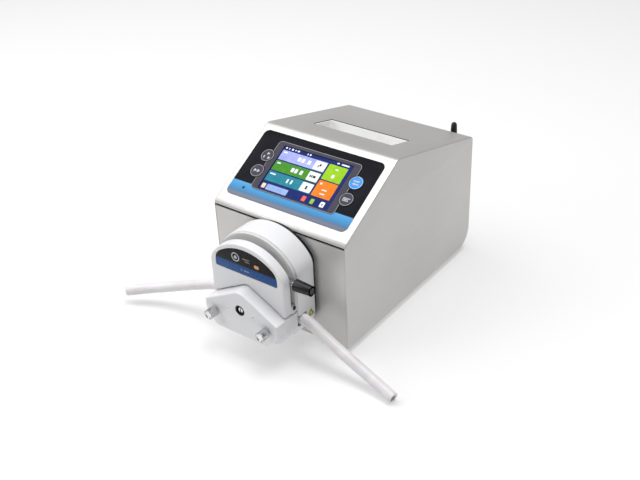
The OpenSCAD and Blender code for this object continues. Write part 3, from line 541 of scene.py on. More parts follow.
def makeWhite(name, colour, rough, softEdge=0.0):
    material, tree, shader, where = startMaterial(name, colour, 0, rough)
    grain = noiseOf(tree, where, 1400, (1, 1, 1), 2)
    broad = noiseOf(tree, where, 16, (1, 1, 1), 3)
    tone = mixed(tree, ranged(tree, broad, 0, 1), tuple(c * 0.965 for c in colour), colour)
    # lighter outer edges: a painted highlight along the rounded rims of the white plastic
    rimSheenTone = mixed(tree, edgeWearAndSheen(tree, 0.0008), tone, tuple(min(c * 1.08, 1) for c in colour))
    tree.links.new(rimSheenTone, shader.inputs["Base Color"])
    tree.links.new(ranged(tree, broad, rough - 0.05, rough + 0.05), shader.inputs["Roughness"])
    shader.inputs["Subsurface Weight"].default_value = 0.08
    shader.inputs["Subsurface Scale"].default_value = 0.002
    bumped(tree, shader, grain, 0.2, 0.00004, softEdge)
    return material


def makeSilicone():
    material, tree, shader, where = startMaterial("siliconeTube", (0.84, 0.81, 0.825), 0, 0.36)
    cloud = noiseOf(tree, where, 60, (1, 1, 1), 4)
    fine = noiseOf(tree, where, 900, (1, 1, 1), 2)
    tone = mixed(tree, ranged(tree, cloud, 0, 1), (0.78, 0.755, 0.77), (0.88, 0.86, 0.87))
    tree.links.new(tone, shader.inputs["Base Color"])
    tree.links.new(ranged(tree, fine, 0.3, 0.44), shader.inputs["Roughness"])
    shader.inputs["Subsurface Weight"].default_value = 0.35
    shader.inputs["Subsurface Scale"].default_value = 0.004
    shader.inputs["Transmission Weight"].default_value = 0.12
    shader.inputs["IOR"].default_value = 1.41
    bumped(tree, shader, fine, 0.15, 0.00004)
    return material


def makeCircuitBoard():
    material, tree, shader, where = startMaterial("circuitBoard", (0.02, 0.16, 0.08), 0, 0.4)
    cells = tree.nodes.new("ShaderNodeTexVoronoi")
    cells.inputs["Scale"].default_value = 420
    tree.links.new(where, cells.inputs["Vector"])
    tracks = ranged(tree, cells.outputs["Distance"], 0, 1, 0.35, 0.45)
    tone = mixed(tree, tracks, (0.03, 0.22, 0.11), (0.012, 0.11, 0.05))
    tree.links.new(tone, shader.inputs["Base Color"])
    tree.links.new(ranged(tree, cells.outputs["Distance"], 0.3, 0.5, 0, 0.6), shader.inputs["Roughness"])
    bumped(tree, shader, tracks, 0.2, 0.00005, 0.0002)
    return material


finishes = {
    "brushed_steel": makeSteel("brushedSteel", (0.61, 0.60, 0.585), 0.4),
    "plain_steel": makePlain("plainSteel", (0.62, 0.62, 0.63), 0.9, 0.33, 1200, 0.00003),
    "chrome": makePlain("chromePlate", (0.72, 0.72, 0.73), 1.0, 0.14, 500, 0.00001),
    "foot_rubber": makePlain("footRubber", (0.018, 0.018, 0.019), 0, 0.78, 700, 0.00012),
    "overlay_film": makeOverlayFilm(),
    "bezel_film": makePlain("bezelFilm", (0.058, 0.054, 0.075), 0, 0.4, 900, 0.00002, 0, 0, 0.08),
    "screen_glass": makeGlow("screenNavy", (0.008, 0.018, 0.125), 0.12),
    "grey_part": makePlain("greyMoulding", (0.36, 0.37, 0.38), 0, 0.45),
    "circuit_board": makeCircuitBoard(),
    "aluminium_part": makePlain("castAluminium", (0.66, 0.67, 0.68), 0.85, 0.4, 700, 0.00006),
    "brass_part": makePlain("turnedBrass", (0.62, 0.45, 0.2), 1.0, 0.26, 900, 0.00002),
    "black_part": makePlain("blackMoulding", (0.012, 0.012, 0.013), 0, 0.45,
                            1000, 0.00006, 0.0004, 0.02, 0.3),
    "motor_paint": makePlain("motorPaint", (0.03, 0.03, 0.033), 0.2, 0.45, 800, 0.00004, 0.0004, 0.05),
    "rocker_red": makePlain("rockerRed", (0.5, 0.02, 0.015), 0, 0.3, 900, 0.00003),
    "head_white": makeWhite("headWhite", (0.78, 0.78, 0.795), 0.36),
    "label_blue": makeLabelPrint(),
    "grip_black": makePlain("gripBlack", (0.009, 0.009, 0.01), 0, 0.34, 900, 0.00003, 0.0003, 0.02, 0.3),
    "silicone": makeSilicone(),
}
for part in frame["record"]["subparts"]:
    mesh = nodes[part["node"]].data
    mesh.materials.clear()
    mesh.materials.append(finishes[part["material_slot"]])
print("finishes ready:", len(finishes))

# the free tube ends: short stubs of stiff silicone tube, cut square
tube = {"radius": 6.35, "wall": 2.4, "rim": 0.4, "between": 6}
leftTail = {
    "length": 0.149,
    "route": [(-51, -28, 44.5), (-57, -28, 44.4), (-66, -28, 43.5), (-80, -28.5, 40.5), (-95, -30, 35),
              (-115, -33.5, 28), (-140, -40, 20), (-166, -51, 14), (-188, -64, 10)],
}
rightTail = {
    "length": 0.131,
    "route": [(51, -28, 44.5), (56, -28, 44), (64, -28, 41.5), (75, -28.5, 36), (90, -29, 28.5),
              (108, -30, 20.5), (129, -31.5, 12.5), (150, -34, 5.5), (173, -38, -0.4)],
}


def smoothRoute(points, between):
    # points on an even curve through all of the route's points
    spots = [at(*p) for p in points]
    spots = [spots[0] * 2 - spots[1]] + spots + [spots[-1] * 2 - spots[-2]]
    path = []
    for i in range(1, len(spots) - 2):
        a, b, c, d = spots[i - 1:i + 3]
        for k in range(between):
            t = k / between
            path.append(0.5 * (2 * b + (c - a) * t + (2 * a - 5 * b + 4 * c - d) * t ** 2
                               + (3 * b - a - 3 * c + d) * t ** 3))
    path.append(spots[-2])
    return path


def makeTail(name, tail, node):
    path = smoothRoute(tail["route"], tube["between"])
    shape = bpy.data.curves.new(name, "CURVE")
    shape.dimensions = "3D"
    shape.bevel_depth = tube["radius"] / 1000
    shape.bevel_resolution = 6
    line = shape.splines.new("POLY")
    line.points.add(len(path) - 1)
    for point, place in zip(line.points, path):
        point.co = (*place, 1)
    piece = bpy.data.objects.new(name, shape)
    bpy.context.scene.collection.objects.link(piece)
    pick(piece)
    bpy.ops.object.convert(target="MESH")
    piece = bpy.context.object
    closeSeams(piece)
    useModifier(piece, "SOLIDIFY", thickness=tube["wall"] / 1000, offset=-1, use_even_offset=True)
    bevelEdges(piece, tube["rim"] / 1000, 2, 60)
    finishPiece(piece, "drive", [finishes["silicone"]], [node])
    print(name, "is", round(sum((b - a).length for a, b in zip(path, path[1:])) * 1000, 1), "mm long")


makeTail("leftTubeTail", leftTail, "left_tube_tail")
makeTail("rightTubeTail", rightTail, "right_tube_tail")


# floor and light
studio = {
    "floorSize": 9,
    "floorColour": (0.5, 0.5, 0.5),
    "floorGlow": 0.42,
    "world": (0.96, 0.97, 1.0),
    "worldStrength": 0.17,
    "lamps": [
        ("slopeLamp", (-0.98, -0.22, 1.75), (0, -0.03, 0.15), 1.9, 24),
        ("topLamp", (0.4, 0.12, 2.4), (0, 0, 0.15), 1.3, 39),
        ("frontLamp", (-1.4, -1.7, 1.3), (0, 0, 0.08), 0.9, 10),
    ],
}


def makeStudio():
    deselect()
    bpy.ops.mesh.primitive_plane_add(size=studio["floorSize"], location=(0, 0, 0))
    floor = bpy.context.object
    floor.name = "studioFloor"
    bpy.ops.object.mode_set(mode="EDIT")
    bpy.ops.mesh.subdivide(number_cuts=8)
    bpy.ops.object.mode_set(mode="OBJECT")
    material, tree, shader, where = startMaterial("paleFloor", studio["floorColour"], 0, 0.7)
    cloud = noiseOf(tree, where, 3, (1, 1, 1), 2)
    colour = studio["floorColour"]
    tone = mixed(tree, ranged(tree, cloud, 0, 1), tuple(c * 0.995 for c in colour), colour)
    tree.links.new(tone, shader.inputs["Base Color"])
    shader.inputs["Emission Color"].default_value = (1, 1, 1, 1)
    shader.inputs["Emission Strength"].default_value = studio["floorGlow"]
    shader.inputs["Specular IOR Level"].default_value = 0.1
    floor.data.materials.append(material)
    world = bpy.data.worlds.new("studio")
    world.use_nodes = True
    back = world.node_tree.nodes["Background"]
    back.inputs["Color"].default_value = (*studio["world"], 1)
    back.inputs["Strength"].default_value = studio["worldStrength"]
    bpy.context.scene.world = world
    for name, place, aim, size, power in studio["lamps"]:
        lamp = bpy.data.objects.new(name, bpy.data.lights.new(name, "AREA"))
        lamp.data.shape = "DISK"
        lamp.data.size = size
        lamp.data.energy = power
        lamp.location = place
        lamp.rotation_euler = (Vector(aim) - Vector(place)).to_track_quat("-Z", "Y").to_euler()
        bpy.context.scene.collection.objects.link(lamp)
    bpy.context.scene.view_settings.view_transform = "Standard"


makeStudio()
print("camera, cords, floor and lights ready")

# drive housing: a folded cover over a folded chassis
cover = {
    "window": (100.6, 65.0, 61.3),
    "keys": [(-60.5, 73), (60.5, 73), (-61, 51), (61, 51)],
    "keyHole": 8.6,
    "handle": (-55, 55, 43, 81),
    "flange": 12,
}


def makeCover():
    side = drive["halfWidth"]
    inner = side - drive["sheet"]
    profile = drive["profile"]
    piece = across("steelCover", roundCorners(profile), -side, side, drive["rim"])
    hollow = across("hollow", roundCorners(insetCorners(profile, drive["sheet"])), -inner, inner)
    below = driveBlock("below", (-inner, -5, -5), (inner, 275, drive["seam"][1]))
    width, height, middle = cover["window"]
    window = onSlope(slab("window", [roundedBox(width, height, 1, (0, middle))], -6, 6))
    x0, x1, t0, t1 = cover["handle"]
    grasp = onTop(slab("grasp", [roundedBox(x1 - x0, t1 - t0, 1.5, ((x0 + x1) / 2, (t0 + t1) / 2))], -9, 9))
    holes = [onSlope(addRod("hole", spot, cover["keyHole"], -6, 6)) for spot in cover["keys"]]
    combine(piece, [hollow, below, window, grasp] + holes)
    # the folded-in strips that the floor and rear sheets are screwed to
    strip = cover["flange"]
    for sign in (-1, 1):
        low, high = sorted((sign * inner, sign * (inner - strip)))
        floorStrip = driveBlock("strip", (low, 20, 1.8), (high, 236, 3.3))
        rearStrip = driveBlock("strip", (low, 262.7, 35), (high, 264.2, 122))
        screwHoles = [moveTo(addRod("hole", (sign * 80, y), 1.5, 0, 6, 24), at(0, 0, 0)) for y in (60, 200)]
        combine(floorStrip, screwHoles)
        combine(rearStrip, [frontRod("hole", sign * 80, z, 1.5, 260, 266, 24) for z in (76, 110)])
        combine(piece, [floorStrip, rearStrip], "UNION")
    finishPiece(piece, "drive", [finishes["brushed_steel"]], ["housing_cover"])


chassis = {
    "shaftHole": 13,
    "headScrews": [(-36, 34), (36, 34), (-36, 108), (36, 108)],
    "vents": (-76, 8, 9, 3, 84, 114),
    "connectors": 54,
}


def makeChassis():
    edge = drive["halfWidth"] - drive["sheet"] - 0.3
    profile = drive["profile"]
    inside = roundCorners(insetCorners(profile, drive["sheet"]))
    piece = across("steelChassis", roundCorners(profile), -edge, edge, 0.3, 2)
    hollow = across("hollow", inside, -edge - 2, edge + 2)
    above = driveBlock("above", (-95, -5, drive["seam"][0]), (95, 275, 200))
    z = chassis["connectors"]
    cutters = [hollow, above, frontRod("hole", 0, 60, chassis["shaftHole"], -1, 3)]
    cutters += [frontRod("hole", x, h, 2.5, -1, 3, 32) for x, h in chassis["headScrews"]]
    cutters += [driveBlock("hole", (-70.2, 263, z - 11.2), (-29.8, 267, z + 11.2)),
                driveBlock("hole", (-15.2, 263, z - 13.2), (3.2, 267, z + 13.2)),
                driveBlock("hole", (26, 263, z - 5.5), (54, 267, z + 5.5))]
    for x, h, r in ((-74, z, 1.5), (-26, z, 1.5), (23, z, 1.5), (57, z, 1.5), (59, 110, 3.2)):
        cutters.append(frontRod("hole", x, h, r, 263, 267, 24))
    for x in (-80, 80):
        cutters += [frontRod("hole", x, h, 1.5, 263, 267, 24) for h in (76, 110)]
        cutters += [moveTo(addRod("hole", (x, y), 1.5, -1, 3, 24), at(0, 0, 0)) for y in (60, 200)]
    for x in (-72, 72):
        cutters += [moveTo(addRod("hole", (x, y), 2, -1, 3, 24), at(0, 0, 0)) for y in (26, 222)]
    start, pitch, count, width, low, high = chassis["vents"]
    for i in range(count):
        x = start + i * pitch
        rear = roundedBox(width, high - low, 1.45, (x + width / 2, (low + high) / 2))
        under = roundedBox(width, 24, 1.45, ((i - (count - 1) / 2) * pitch, 122))
        cutters += [facing("vent", [rear], 263, 267), moveTo(slab("vent", [under], -1, 3), at(0, 0, 0))]
    combine(piece, cutters)
    finishPiece(piece, "drive", [finishes["brushed_steel"]], ["chassis"])


makeCover()
makeChassis()

handle = {"rearGap": 1.9, "leftGap": 1.2, "gap": 0.3, "depth": 30, "wall": 1.5, "corner": 4}
# a whiter tone than the housing steel for the handle tray: painted light, standing in for the front light its
# rear wall catches
litTrayTone = makeWhite("litTrayWhite", (0.86, 0.86, 0.84), 0.3)


def makeHandleTray():
    x0, x1, t0, t1 = cover["handle"]
    gap = handle["gap"]
    rear = t1 - handle["rearGap"]
    low = (x0 + handle["leftGap"], t0 + gap, -handle["depth"])
    piece = addBlock("handleTray", low, (x1 - gap, rear, -0.5))
    selectWhere(piece, lambda c, n: n.z > 0.9)
    bpy.ops.mesh.inset(thickness=handle["wall"] / 1000)
    extrudeUp(0.0015 - handle["depth"] / 1000)
    leaveEdit()

    def isInnerEdge(c, d):
        x, y, z = c * 1000
        return z < -0.9 and abs(x) < x1 - handle["wall"] and t0 + 1 < y < rear - 1

    selectWhere(piece, isInnerEdge, "EDGE")
    bpy.ops.mesh.bevel(offset=handle["corner"] / 1000, segments=5, affect="EDGES")
    leaveEdit()
    bevelEdges(piece, 0.0003)
    onTop(piece)
    finishPiece(piece, "drive", [litTrayTone], ["handle_tray"])


def makeHandleShadeStrip():
    # a black strip between the tray and the sheet: painted shade standing in for the shadow gap under the
    # sheet's edge, widest at the rear and left
    x0, x1, t0, t1 = cover["handle"]
    outer = roundedBox(x1 - x0 - 0.1, t1 - t0 - 0.1, 1.5, ((x0 + x1) / 2, (t0 + t1) / 2))
    a, b = x0 + handle["leftGap"], x1 - 0.5
    c, d = t0 + 0.5, t1 - handle["rearGap"]
    inner = roundedBox(b - a, d - c, 1, ((a + b) / 2, (c + d) / 2))
    shadeStrip = onTop(slab("handleShadeStrip", [outer, inner], -1.7, -0.08, 0.1, 1))
    finishPiece(shadeStrip, "drive", [finishes["foot_rubber"]])


makeHandleTray()
makeHandleShadeStrip()
print("housing built")

# screen panel: printed film, screen frame, lit tiles and four keys
overlay = {
    "size": (-83.5, 81, 14.2, 105.6, 7),
    "window": (95.2, 60.6, 0.8, 61.3),
    "bezel": (114, 67, 5, 62.5),
    "outline": 0.55,
    "bite": 8.9,
    "dot": (-64.2, 26.2, 1.7),
}
paleLine = makePlain("paleLine", (0.30, 0.30, 0.32), 0, 0.4, 900, 0.00002, 0, 0, 0.1)


def makeOverlay():
    x0, x1, s0, s1, corner = overlay["size"]
    sheet = roundedBox(x1 - x0, s1 - s0, corner, ((x0 + x1) / 2, (s0 + s1) / 2))
    w, h, r, m = overlay["window"]
    holes = [roundedBox(w, h, r, (0, m))] + [circleLine(x, y, cover["keyHole"]) for x, y in cover["keys"]]
    piece = onSlope(slab("panelOverlay", [sheet] + holes, 0.02, 0.4, 0.1, 1))
    finishPiece(piece, "drive", [finishes["overlay_film"]], ["front_overlay"])


def biteForKeys(piece):
    # the screen frame gives way round each key
    return combine(piece, [addRod("bite", spot, overlay["bite"], -1, 3) for spot in cover["keys"]])


def makeBezel():
    w, h, r, m = overlay["window"]
    w2, h2, r2, m2 = overlay["bezel"]
    frameLines = [roundedBox(w2, h2, r2, (0, m2)), roundedBox(w, h, r, (0, m))]
    bezel = onSlope(biteForKeys(slab("screenBezel", frameLines, 0.42, 0.95, 0.12, 1)))
    finishPiece(bezel, "drive", [finishes["bezel_film"]], ["display_bezel"])
    thin = overlay["outline"]
    width, height = w2 - 0.3, h2 - 0.3
    rimLines = [roundedBox(width, height, r2, (0, m2)),
                roundedBox(width - 2 * thin, height - 2 * thin, r2 - thin, (0, m2))]
    rim = biteForKeys(slab("bezelOutline", rimLines, 0.9, 1.0))
    onSlope(bevelEdges(rim, 0.00003, 1))
    finishPiece(rim, "drive", [paleLine])


def makeSensorDot():
    x, y, radius = overlay["dot"]
    dot = onSlope(slab("sensorDot", [circleLine(x, y, radius, 32)], 0.3, 0.5, 0.08, 1))
    finishPiece(dot, "drive", [finishes["black_part"]])


makeOverlay()
makeBezel()
makeSensorDot()

screenTiles = {
    # colour name: (colour, glow, [(x0, x1, s0, s1, corner)]); later tiles lie above earlier ones
    "screenBar": ((0.006, 0.02, 0.12), 0.12, [(-47.4, 47.4, 87.4, 91.4, 0.2)]),
    "screenLavender": ((0.33, 0.36, 0.72), 0.12, [(-46.4, 16, 73.2, 86.4, 0.6)]),
    "screenGreen": ((0.055, 0.235, 0.02), 0.12, [(-46.4, 16, 58.3, 71.6, 0.6)]),
    "screenTeal": ((0.02, 0.20, 0.27), 0.12, [(-46.4, 16, 43.6, 56.8, 0.6)]),
    "screenLime": ((0.27, 0.50, 0.015), 0.12, [(18, 42.6, 65.6, 86.4, 0.8)]),
    "screenOrange": ((0.80, 0.19, 0.015), 0.12, [(18, 42.6, 43.6, 64.2, 0.8)]),
    "screenBlue": ((0.27, 0.38, 0.68), 0.12, [(-38.4, -9.5, 32.8, 40.2, 1)]),
    "screenPeach": ((0.78, 0.58, 0.42), 0.12, [(-45, -40, 33.6, 39.8, 1)]),
    "screenRed": ((0.78, 0.13, 0.08), 0.12, [(10.6, 15.6, 33.4, 40, 1)]),
    "screenLeaf": ((0.25, 0.48, 0.04), 0.12, [(22, 26.6, 33.4, 39.8, 1)]),
    "screenWhite": ((0.80, 0.82, 0.84), 0.12, [
        (1, 15.4, 74, 85.6, 1), (1, 15.4, 59.1, 70.8, 1), (1, 15.4, 44.4, 56, 1), (35, 40.6, 33.2, 40, 1)]),
    "screenSign": ((0.74, 0.78, 0.88), 0.12, [
        (-45, -42.6, 88.3, 90.6, 0.8), (-40.4, -39.2, 88.3, 90.4, 0.2), (-36.6, -33.8, 88.2, 90.7, 1),
        (-31.6, -30.2, 88.5, 90.4, 0.3), (-28.4, -25.6, 88.3, 90.6, 0.9), (-14.6, -13.4, 88.2, 90.5, 0.2),
        (-11.6, -9.4, 88.3, 90.7, 0.8), (26, 29, 88.6, 90.4, 0.8), (32, 42, 88.5, 90.3, 0.6),
        (-22, -18, 77.4, 82.6, 0.5), (-16.6, -12.6, 77.4, 82.6, 0.5), (-11, -9.8, 77.4, 78.6, 0.4),
        (-8.4, -4.4, 77.4, 82.6, 0.5), (-44, -39, 82.6, 84.6, 0.6),
        (-22, -18.4, 62.4, 67.8, 0.5), (-17, -13.4, 62.4, 67.8, 0.5), (-10, -6.4, 62.4, 67.8, 0.5),
        (-44, -39, 67.6, 69.4, 0.6), (-19, -16.8, 47.8, 53, 0.5), (-13.6, -11.4, 47.8, 53, 0.5),
        (-44, -36.4, 52.6, 54.4, 0.6), (28.2, 32.4, 80.6, 82, 0.5), (28.6, 32, 70, 74.4, 0.8),
        (27, 33.6, 52.6, 54, 0.5), (21, 23.4, 59, 61.4, 0.6), (27, 33.4, 47.6, 49, 0.5)]),
    "screenDark": ((0.02, 0.05, 0.03), 0.1, [
        (5.8, 7.2, 77.4, 80.4, 0.4), (7.2, 9.8, 79.6, 82.4, 0.5), (3.4, 5, 63.4, 66.6, 0.4),
        (5.6, 7.2, 63.4, 66.6, 0.4), (7.8, 11.6, 63.4, 66.6, 0.8), (7, 9.4, 47.6, 52.4, 0.7),
        (37, 38.6, 35.4, 37.8, 0.5)]),
}


def makeScreenPicture():
    # every tile is a thin rounded plate, stacked a hair above the one before
    groups = []
    for level, (name, (colour, glow, tiles)) in enumerate(screenTiles.items()):
        material = makeGlow(name, colour, glow)
        for x0, x1, s0, s1, corner in tiles:
            deselect()
            middle = ((x0 + x1) / 2000, (s0 + s1) / 2000, 0.00001 * level)
            bpy.ops.mesh.primitive_plane_add(size=1, location=middle)
            tile = bpy.context.object
            tile.scale = ((x1 - x0) / 1000, (s1 - s0) / 1000, 1)
            editAll(settle(tile))
            bpy.ops.mesh.bevel(offset=corner / 1000, segments=3, affect="VERTICES")
            bpy.ops.mesh.select_all(action="SELECT")
            bpy.ops.mesh.inset(thickness=0.00008)
            raiseBy(0.00001)
            leaveEdit()
            tile.data.materials.append(material)
            groups.append(tile)
    piece = groups[0]
    pick(*groups)
    bpy.ops.object.join()
    piece.name = "screenPicture"
    onSlope(piece)
    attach(piece, "drive")


makeScreenPicture()

keys = {
    "radius": 8.3,
    "collar": 9.2,
    "ring": 0.75,
    "faces": (-2.8, -1.9, 1.2),
    # name: (spot, body, whether lit, strokes of its sign); the body and the CAD node share a name
    "list": {
        "startKey": ((-60.5, 73), "start_key", False, [
            [(-1.6, 0.6), (2.2, 2.6), (-1.6, 4.6)],
            [(-4.4, -4.4), (-2.9, -4.4), (-2.9, -0.9), (-4.4, -0.9)],
            [(1.6, -4.2), (4.4, -4.2), (4.4, -1.4), (1.6, -1.4)]]),
        "directionKey": ((60.5, 73), "direction_key", True, [
            [(-4.4, 1.2), (1.4, 1.2), (1.4, 0.2), (4.2, 2), (1.4, 3.8), (1.4, 2.6), (-4.4, 2.6)],
            [(4.4, -1.2), (-1.4, -1.2), (-1.4, -0.2), (-4.2, -2), (-1.4, -3.8), (-1.4, -2.6), (4.4, -2.6)]]),
        "primeKey": ((-61, 51), "prime_key", False, [
            [(-4.6, -2.4), (-0.6, 0), (-4.6, 2.4)],
            [(0, -2.4), (4, 0), (0, 2.4)]]),
        "menuKey": ((61, 51), "menu_key", False, [
            [(-4.6, 0.9), (4.6, 0.9), (4.6, 1.9), (-4.6, 1.9)],
            [(-4.6, -0.8), (2.4, -0.8), (2.4, 0.2), (-4.6, 0.2)],
            [(-4.6, -2.5), (3.4, -2.5), (3.4, -1.5), (-4.6, -1.5)]]),
    },
}
litBlue = makeGlow("litBlue", (0.06, 0.26, 0.66), 0.2)
litRing = makeGlow("litRing", (0.34, 0.55, 0.85), 0.2)
signWhite = makePlain("signWhite", (0.55, 0.55, 0.6), 0, 0.4, 900, 0.00001, 0, 0, 0.1)


def makeKeyBody(name):
    low, shoulder, top = keys["faces"]
    piece = addRod(name, (0, 0), keys["collar"], low, shoulder, 72)
    selectWhere(piece, lambda c, n: n.z > 0.9)
    bpy.ops.mesh.inset(thickness=(keys["collar"] - keys["radius"]) / 1000)
    chamfer = 0.0003
    extrudeUp((top - shoulder) / 1000 - chamfer)
    bpy.ops.mesh.inset(thickness=chamfer)
    raiseBy(chamfer)
    bpy.ops.mesh.inset(thickness=keys["ring"] / 1000)
    bpy.ops.mesh.inset(thickness=0.00025)
    raiseBy(-chamfer)
    leaveEdit()
    # slot 0 is the body, slot 1 its pale ring, slot 2 its centre
    ringInner = (keys["radius"] - keys["ring"]) / 1000 - chamfer
    for face in piece.data.polygons:
        reach = math.hypot(face.center.x, face.center.y)
        if face.normal.z > 0.9 and face.center.z > 0:
            face.material_index = 1 if reach > ringInner - 0.00005 else 2
    return piece


def makeKeys():
    pattern = makeKeyBody("keyPattern")
    for name, (spot, body, lit, strokes) in keys["list"].items():
        piece = copyOf(pattern, name)
        indices = [face.material_index for face in piece.data.polygons]
        place = (spot[0] / 1000, spot[1] / 1000, 0)
        onSlope(moveTo(piece, place))
        faceFinishes = [litRing, litBlue] if lit else [paleLine, finishes["bezel_film"]]
        finishPiece(piece, body, [finishes["black_part"]] + faceFinishes, [body])
        for face, index in zip(piece.data.polygons, indices):
            face.material_index = index
        signs = []
        for stroke in strokes:
            sign = slab("sign", [[(x * 0.95, y * 0.95) for x, y in stroke]], 0.88, 1.0)
            signs.append(bevelEdges(sign, 0.00006, 1))
        pick(*signs)
        bpy.ops.object.join()
        mark = signs[0]
        mark.name = name + "Sign"
        onSlope(moveTo(mark, place))
        finishPiece(mark, body, [signWhite])
    bpy.data.objects.remove(pattern, do_unlink=True)


makeKeys()
print("screen panel built")

# pump head
head = {
    "arch": (59, 79, 51.5),
    "floor": (18, 24),
    "rim": 1.6,
    "wall": 3.5,
    "split": (57.5, 84.5, 14),
    "halfWidth": 50,
    "rotorZ": 60,
    "slot": (30, 37.55, 56),
    "thumbHole": (36, 47),
    "pinMark": (17, 58),
    "guidePin": (43, -49),
}


def makeHeadBack():
    radius, centre, half = head["arch"]
    floor, corner = head["floor"]
    wall = head["wall"]
    outline = archOutline(radius, centre, half, floor, corner)
    piece = facing("headBackShell", [outline], -34, -5, head["rim"], 4)
    x, low, high = head["slot"]
    pocket = archOutline(radius - wall, centre, half - wall, high - 2, 0)
    cutters = [facing("pocket", [pocket], -36, -15.5),
               frontRod("pocket", 0, head["rotorZ"], 34.3, -36, -15.5, 96),
               frontRod("seat", 0, head["rotorZ"], 10.5, -17, -10.5),
               frontRod("seat", 0, head["rotorZ"], 11.4, -10.6, 0)]
    for sign in (-1, 1):
        a, b = sorted((sign * x, sign * (half + 2)))
        cutters.append(driveBlock("slot", (a, -36, low), (b, -21, 51.1)))
        a, b = sorted((sign * x, sign * 48))
        cutters.append(driveBlock("slot", (a, -36, 50), (b, -18.5, high)))
    combine(piece, cutters)
    combine(piece, [frontRod("hole", x, z, 2.5, -14, 0, 32) for x, z in chassis["headScrews"]])
    finishPiece(piece, "drive", [finishes["head_white"]], ["head_back"])


def makeHeadFront():
    half = head["halfWidth"]
    side, apex, blend = head["split"]
    floor, corner = head["floor"]
    bossCorners = [(0, apex, blend), (-half, side, 1.5), (-half, 46, 8), (-37, 26.5, 9),
                   (37, 26.5, 9), (half, 46, 8), (half, side, 1.5)]
    noseCorners = [(0, apex, blend), (-half, side, 0.6), (-half, floor + 1, corner),
                   (half, floor + 1, corner), (half, side, 0.6)]
    skirtCorners = [(half, side - 0.5, 0), (-half, side - 0.5, 0), (-half, floor + 1, corner),
                    (half, floor + 1, corner)]
    piece = facing("headFrontShell", [roundCorners(bossCorners, 12)], -70, -54, 1.5, 4)
    nose = facing("nose", [roundCorners(noseCorners, 12)], -55, -43, 0.5, 2)
    skirt = facing("skirt", [roundCorners(skirtCorners, 12)], -43.8, -34)
    combine(piece, [nose, skirt], "UNION")
    rotorZ = head["rotorZ"]
    x, low, high = head["slot"]
    cutters = [frontRod("rotor", 0, rotorZ, 34.3, -40.2, -33, 96),
               frontRod("window", 0, rotorZ, 6.5, -71, -49.5),
               frontRod("seat", 0, rotorZ, 10.5, -50, -44.9),
               frontRod("seat", 0, rotorZ, 8, -45.5, -34)]
    thumbX, thumbZ = head["thumbHole"]
    markX, markZ = head["pinMark"]
    guideX, guideY = head["guidePin"]
    for sign in (-1, 1):
        for (x0, x1), (y0, y1), (z0, z1) in (
                ((x, half + 2), (-35, -33), (low, side + 1)),
                ((x, 48), (-37.7, -33), (50, side + 1)),
                ((32.8, half - 0.4), (-42.4, -34.4), (39.6, 50.6))):
            a, b = sorted((sign * x0, sign * x1))
            cutters.append(driveBlock("slot", (a, y0, z0), (b, y1, z1)))
        cutters += [frontRod("hole", sign * thumbX, thumbZ, 2.1, -71, -35, 32),
                    frontRod("mark", sign * markX, markZ, 1.6, -71, -68, 24),
                    moveTo(addRod("hole", (sign * guideX, guideY), 3, 32, 90, 48), at(0, 0, 0))]
    combine(piece, cutters)
    finishPiece(piece, "drive", [finishes["head_white"]], ["head_front"])


jaw = {"arch": (59, 74, 50), "gap": 1, "label": (60, 67.2, 42, 96, 2), "neckX": 39, "rim": 2}
signOrange = makePlain("signOrange", (0.72, 0.32, 0.12), 0, 0.4, 900, 0.00001, 0)
signBrown = makePlain("signBrown", (0.26, 0.2, 0.16), 0, 0.4, 900, 0.00001, 0)
signBlue = makePlain("signBlue", (0.16, 0.30, 0.5), 0, 0.4, 900, 0.00001, 0)
# the head's white darkened to grey: painted shade for the plate in the groove behind the jaw
shadedPlateWhite = makeWhite("shadedPlateWhite", (0.64, 0.64, 0.63), 0.42)


def makeJaw():
    radius, centre, half = jaw["arch"]
    side, apex, blend = head["split"]
    bottom = side + jaw["gap"]
    corners = [(-half, bottom, 2.1), (0, apex + jaw["gap"], blend), (half, bottom, 2.1)]
    piece = facing("jawShell", [roundCorners(corners + archCorners(radius, centre, half), 12)],
                   -55, -43, jaw["rim"], 4)
    neckX = jaw["neckX"]
    lift = apex + jaw["gap"] - neckX * (apex - side) / half
    for sign in (-1, 1):
        edge = half - 0.05
        root = [(sign * neckX, lift + 0.05), (sign * edge, bottom + 0.4),
                (sign * edge, 68), (sign * neckX, 68)]
        a, b = sorted((sign * neckX, sign * edge))
        neck = driveBlock("neck", (a, -42.5, bottom + 0.4), (b, -37.3, 67.9))
        combine(piece, [facing("root", [root], -44, -42.2), neck], "UNION")
    labelR, labelZ, labelHalf, labelFloor, corner = jaw["label"]
    recess = archOutline(labelR + 0.3, labelZ, labelHalf + 0.3, labelFloor - 0.3, corner)
    cutters = [facing("recess", [recess], -56, -54),
               driveBlock("pocket", (-27.5, -50.3, 70), (27.5, -42, 123.5)),
               frontRod("bore", 0, 97, 5.05, -53.5, -49, 48)]
    guideX, guideY = head["guidePin"]
    for x in (-guideX, guideX):
        cutters += [moveTo(addRod("bore", (x, guideY), 3.05, 50, 90, 48), at(0, 0, 0)),
                    moveTo(addRod("bore", (x, guideY), 5.2, 70, 103, 48), at(0, 0, 0))]
    combine(piece, cutters)
    finishPiece(piece, "jaw", [finishes["head_white"]], ["upper_jaw"])


